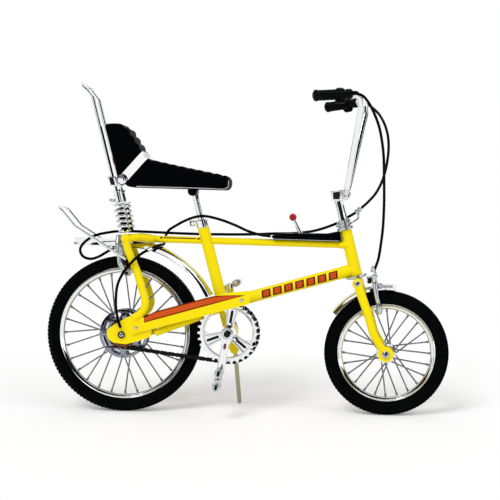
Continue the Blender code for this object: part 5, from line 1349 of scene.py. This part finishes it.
def fasteners():
    """Screw heads on both sides. Each row is a place, the way it faces (-1 right, 1 left), a diameter."""
    head = linked(bpy.data.objects.new("screw_head", mesh_of(cross_head())))
    head.hide_render = True
    # The cross slots are near-black plates on each head: painted shade.
    slot_shape = joined(*[skin([[Vector((x * c - z * s, y, x * s + z * c))
                                 for x, z in ((0.34, 0.07), (0.34, -0.07), (-0.34, -0.07), (-0.34, 0.07))]
                                for y in (-0.2, -0.225)]) for c, s in ((1, 0), (0, 1))])
    slot_item = linked(bpy.data.objects.new("screw_slot", mesh_of(slot_shape)))
    slot_item.hide_render = True
    crown = on_head(HEAD_LENGTH + 2.3)
    rivets = [lathe((x, CHAIN_GUARD_FACE + 0.05, z), (0, -1, 0), [
        (0, 0.55), (0.15, 0.5), (0.28, 0.35), (0.33, 0.1)], 20) for x, z in ((4.15, 23.34), (32.8, 31.15))]
    dress("guard_rivets", joined(*rivets), SATIN_CHROME, "frame")
    rows = {
        "steering": [((crown.x, -5.2, crown.z), -1, 1.7), ((crown.x, 5.2, crown.z), 1, 1.7)],
        "rear_wheel": [((0.0, -6.4, REAR_RADIUS), -1, 1.2), ((0.0, 6.4, REAR_RADIUS), 1, 1.2)],
        "front_wheel": [((WHEELBASE, -5.1, FRONT_RADIUS), -1, 2.0),
                        ((WHEELBASE, 5.1, FRONT_RADIUS), 1, 2.0)]}
    for body, places in rows.items():
        for label, item, surface in (("heads", head, SATIN_CHROME), ("slots", slot_item, PAINTED_DARK)):
            points = bpy.data.meshes.new("points")
            points.from_pydata([p for p, _, _ in places], [], [])
            turn = points.attributes.new("turn", "FLOAT", "POINT")
            size = points.attributes.new("size", "FLOAT", "POINT")
            for i, (_, way, diameter) in enumerate(places):
                turn.data[i].value = 0.0 if way < 0 else math.pi
                size.data[i].value = diameter
            mesh = grown(HEADS, points, Head=item, Finish=surface)
            dress(f"screw_{label}_{body}", mesh, None, body, edge=30.0)
    bpy.data.objects.remove(head)
    bpy.data.objects.remove(slot_item)


def carried_over():
    """Give each solid that still shows its own finish."""
    keep = {
        ENAMEL: ["head_tube", "top_tube", "down_tube", "rear_top_tube", "seat_tube", "seat_stay_left",
                 "seat_stay_right", "chain_stay_left", "chain_stay_right", "stay_bridge", "fork",
                 "chain_guard", "stand_bracket"],
        REFLECTOR: ["reflector"], STAND_STEEL: ["side_stand"]}
    for surface, names in keep.items():
        for name in names:
            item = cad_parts[name]
            item.data.materials.clear()
            item.data.materials.append(surface)


# Studio

def seen_by(tree, *kinds):
    """1 for rays of the given kinds, which see the studio, and 0 for those that only carry its light."""
    rays = node(tree, "ShaderNodeLightPath").outputs
    seen = rays[kinds[0]]
    for kind in kinds[1:]:
        seen = node(tree, "ShaderNodeMath", {0: seen, 1: rays[kind]}, operation="MAXIMUM").outputs[0]
    return seen


def emptied(owner):
    """The node tree of a new world or material, with nothing in it yet."""
    owner.use_nodes = True
    owner.node_tree.nodes.clear()
    return owner.node_tree


def white_world():
    """Even light of medium strength that looks white behind the object."""
    world = bpy.data.worlds.new("studio")
    bpy.context.scene.world = world
    tree = emptied(world)
    soft = node(tree, "ShaderNodeBackground", {"Color": (1, 1, 1, 1), "Strength": 0.55})
    white = node(tree, "ShaderNodeBackground", {"Color": (1, 1, 1, 1), "Strength": 1.0})
    clear = seen_by(tree, "Is Camera Ray", "Is Glossy Ray", "Is Transmission Ray")
    mixed = node(tree, "ShaderNodeMixShader", {0: clear, 1: soft.outputs[0], 2: white.outputs[0]})
    node(tree, "ShaderNodeOutputWorld", {"Surface": mixed.outputs[0]})


def stage_card(name, corners, surface):
    """A flat card that is part of the studio and not of the object, with corners in metres."""
    mesh = bpy.data.meshes.new(name)
    mesh.from_pydata(corners, [], [(0, 1, 2, 3)])
    mesh.materials.append(surface)
    card = linked(bpy.data.objects.new(name, mesh))
    return card


def paper_floor():
    """White paper, lifted just enough where it is seen that it meets the white behind it."""
    paper = bpy.data.materials.new("white_paper_sweep")
    tree = emptied(paper)
    lit = node(tree, "ShaderNodeBsdfDiffuse", {"Color": linear("#F2F2F2")})
    glow = node(tree, "ShaderNodeEmission", {"Color": (1, 1, 1, 1), "Strength": 0.165})
    dark = node(tree, "ShaderNodeEmission", {"Color": (1, 1, 1, 1), "Strength": 0.0})
    seen = seen_by(tree, "Is Camera Ray", "Is Glossy Ray")
    lift = node(tree, "ShaderNodeMixShader", {0: seen, 1: dark.outputs[0], 2: glow.outputs[0]})
    both = node(tree, "ShaderNodeAddShader", {0: lit.outputs[0], 1: lift.outputs[0]})
    node(tree, "ShaderNodeOutputMaterial", {"Surface": both.outputs[0]})
    stage_card("floor", [(-60, -60, 0), (60, -60, 0), (60, 60, 0), (-60, 60, 0)], paper)


def lamps():
    """Rows: name, direction that the light comes from, its spread in degrees and its strength."""
    for name, source, spread, energy in (("key", (-0.5, -0.8, 1.1), 25.0, 1.25),
                                         ("fill", (0.9, -0.6, 0.7), 60.0, 0.6)):
        lamp = bpy.data.lights.new(name, "SUN")
        lamp.angle = math.radians(spread)
        lamp.energy = energy
        item = linked(bpy.data.objects.new(name, lamp))
        item.rotation_euler = Vector(source).to_track_quat("Z", "Y").to_euler()


def dark_flags():
    """Dark cloth outside the picture, which only metal and gloss see: it draws the edges of the chrome."""
    flag = bpy.data.materials.new("black_flag_cloth")
    tree = emptied(flag)
    cloth = node(tree, "ShaderNodeBsdfDiffuse", {"Color": linear("#0A1020")})
    node(tree, "ShaderNodeOutputMaterial", {"Surface": cloth.outputs[0]})
    flags = {"front_left": [(-0.9, -0.95, -0.1), (-0.9, -0.5, -0.1), (-0.9, -0.5, 0.9), (-0.9, -0.95, 0.9)],
             "left": [(-0.9, -0.15, -0.1), (-0.9, 0.35, -0.1), (-0.9, 0.35, 0.9), (-0.9, -0.15, 0.9)],
             "right": [(0.9, -0.15, -0.1), (0.9, 0.35, -0.1), (0.9, 0.35, 0.9), (0.9, -0.15, 0.9)],
             "top": [(-1.8, -0.95, 0.36), (1.8, -0.95, 0.36), (1.8, -0.5, 1.1), (-1.8, -0.5, 1.1)],
             "camera": [(0.0, -1.2, -0.1), (0.75, -1.2, -0.1), (0.75, -1.2, 0.8), (0.0, -1.2, 0.8)]}
    for name, corners in flags.items():
        card = stage_card("flag_" + name, corners, flag)
        card.visible_camera = card.visible_diffuse = card.visible_shadow = card.visible_transmission = False


def camera():
    """The photograph's own view."""
    back = Vector((math.sin(VIEW_AZIMUTH) * math.cos(VIEW_ELEVATION),
                   -math.cos(VIEW_AZIMUTH) * math.cos(VIEW_ELEVATION), math.sin(VIEW_ELEVATION)))
    lens = bpy.data.cameras.new("camera")
    lens.sensor_width = SENSOR_WIDTH
    lens.lens = SENSOR_WIDTH * FOCAL_PIXELS / PICTURE_WIDTH
    lens.clip_start, lens.clip_end = 0.01, 10.0
    item = linked(bpy.data.objects.new("camera", lens))
    item.location = (VIEW_TARGET + back * VIEW_DISTANCE) * MM
    item.rotation_euler = back.to_track_quat("Z", "Y").to_euler()
    bpy.context.scene.camera = item


rear_wheel()
front_wheel()
chain()
crankset()
pedals()
guards()
guard_print()
frame_print()
handlebar()
steering_head()
tube_ends()
brakes()
saddle()
seat_post()
seat_fittings()
rack()
cables()
console()
fasteners()
carried_over()

bpy.context.scene.view_settings.view_transform = "Standard"
white_world()
paper_floor()
lamps()
dark_flags()
camera()
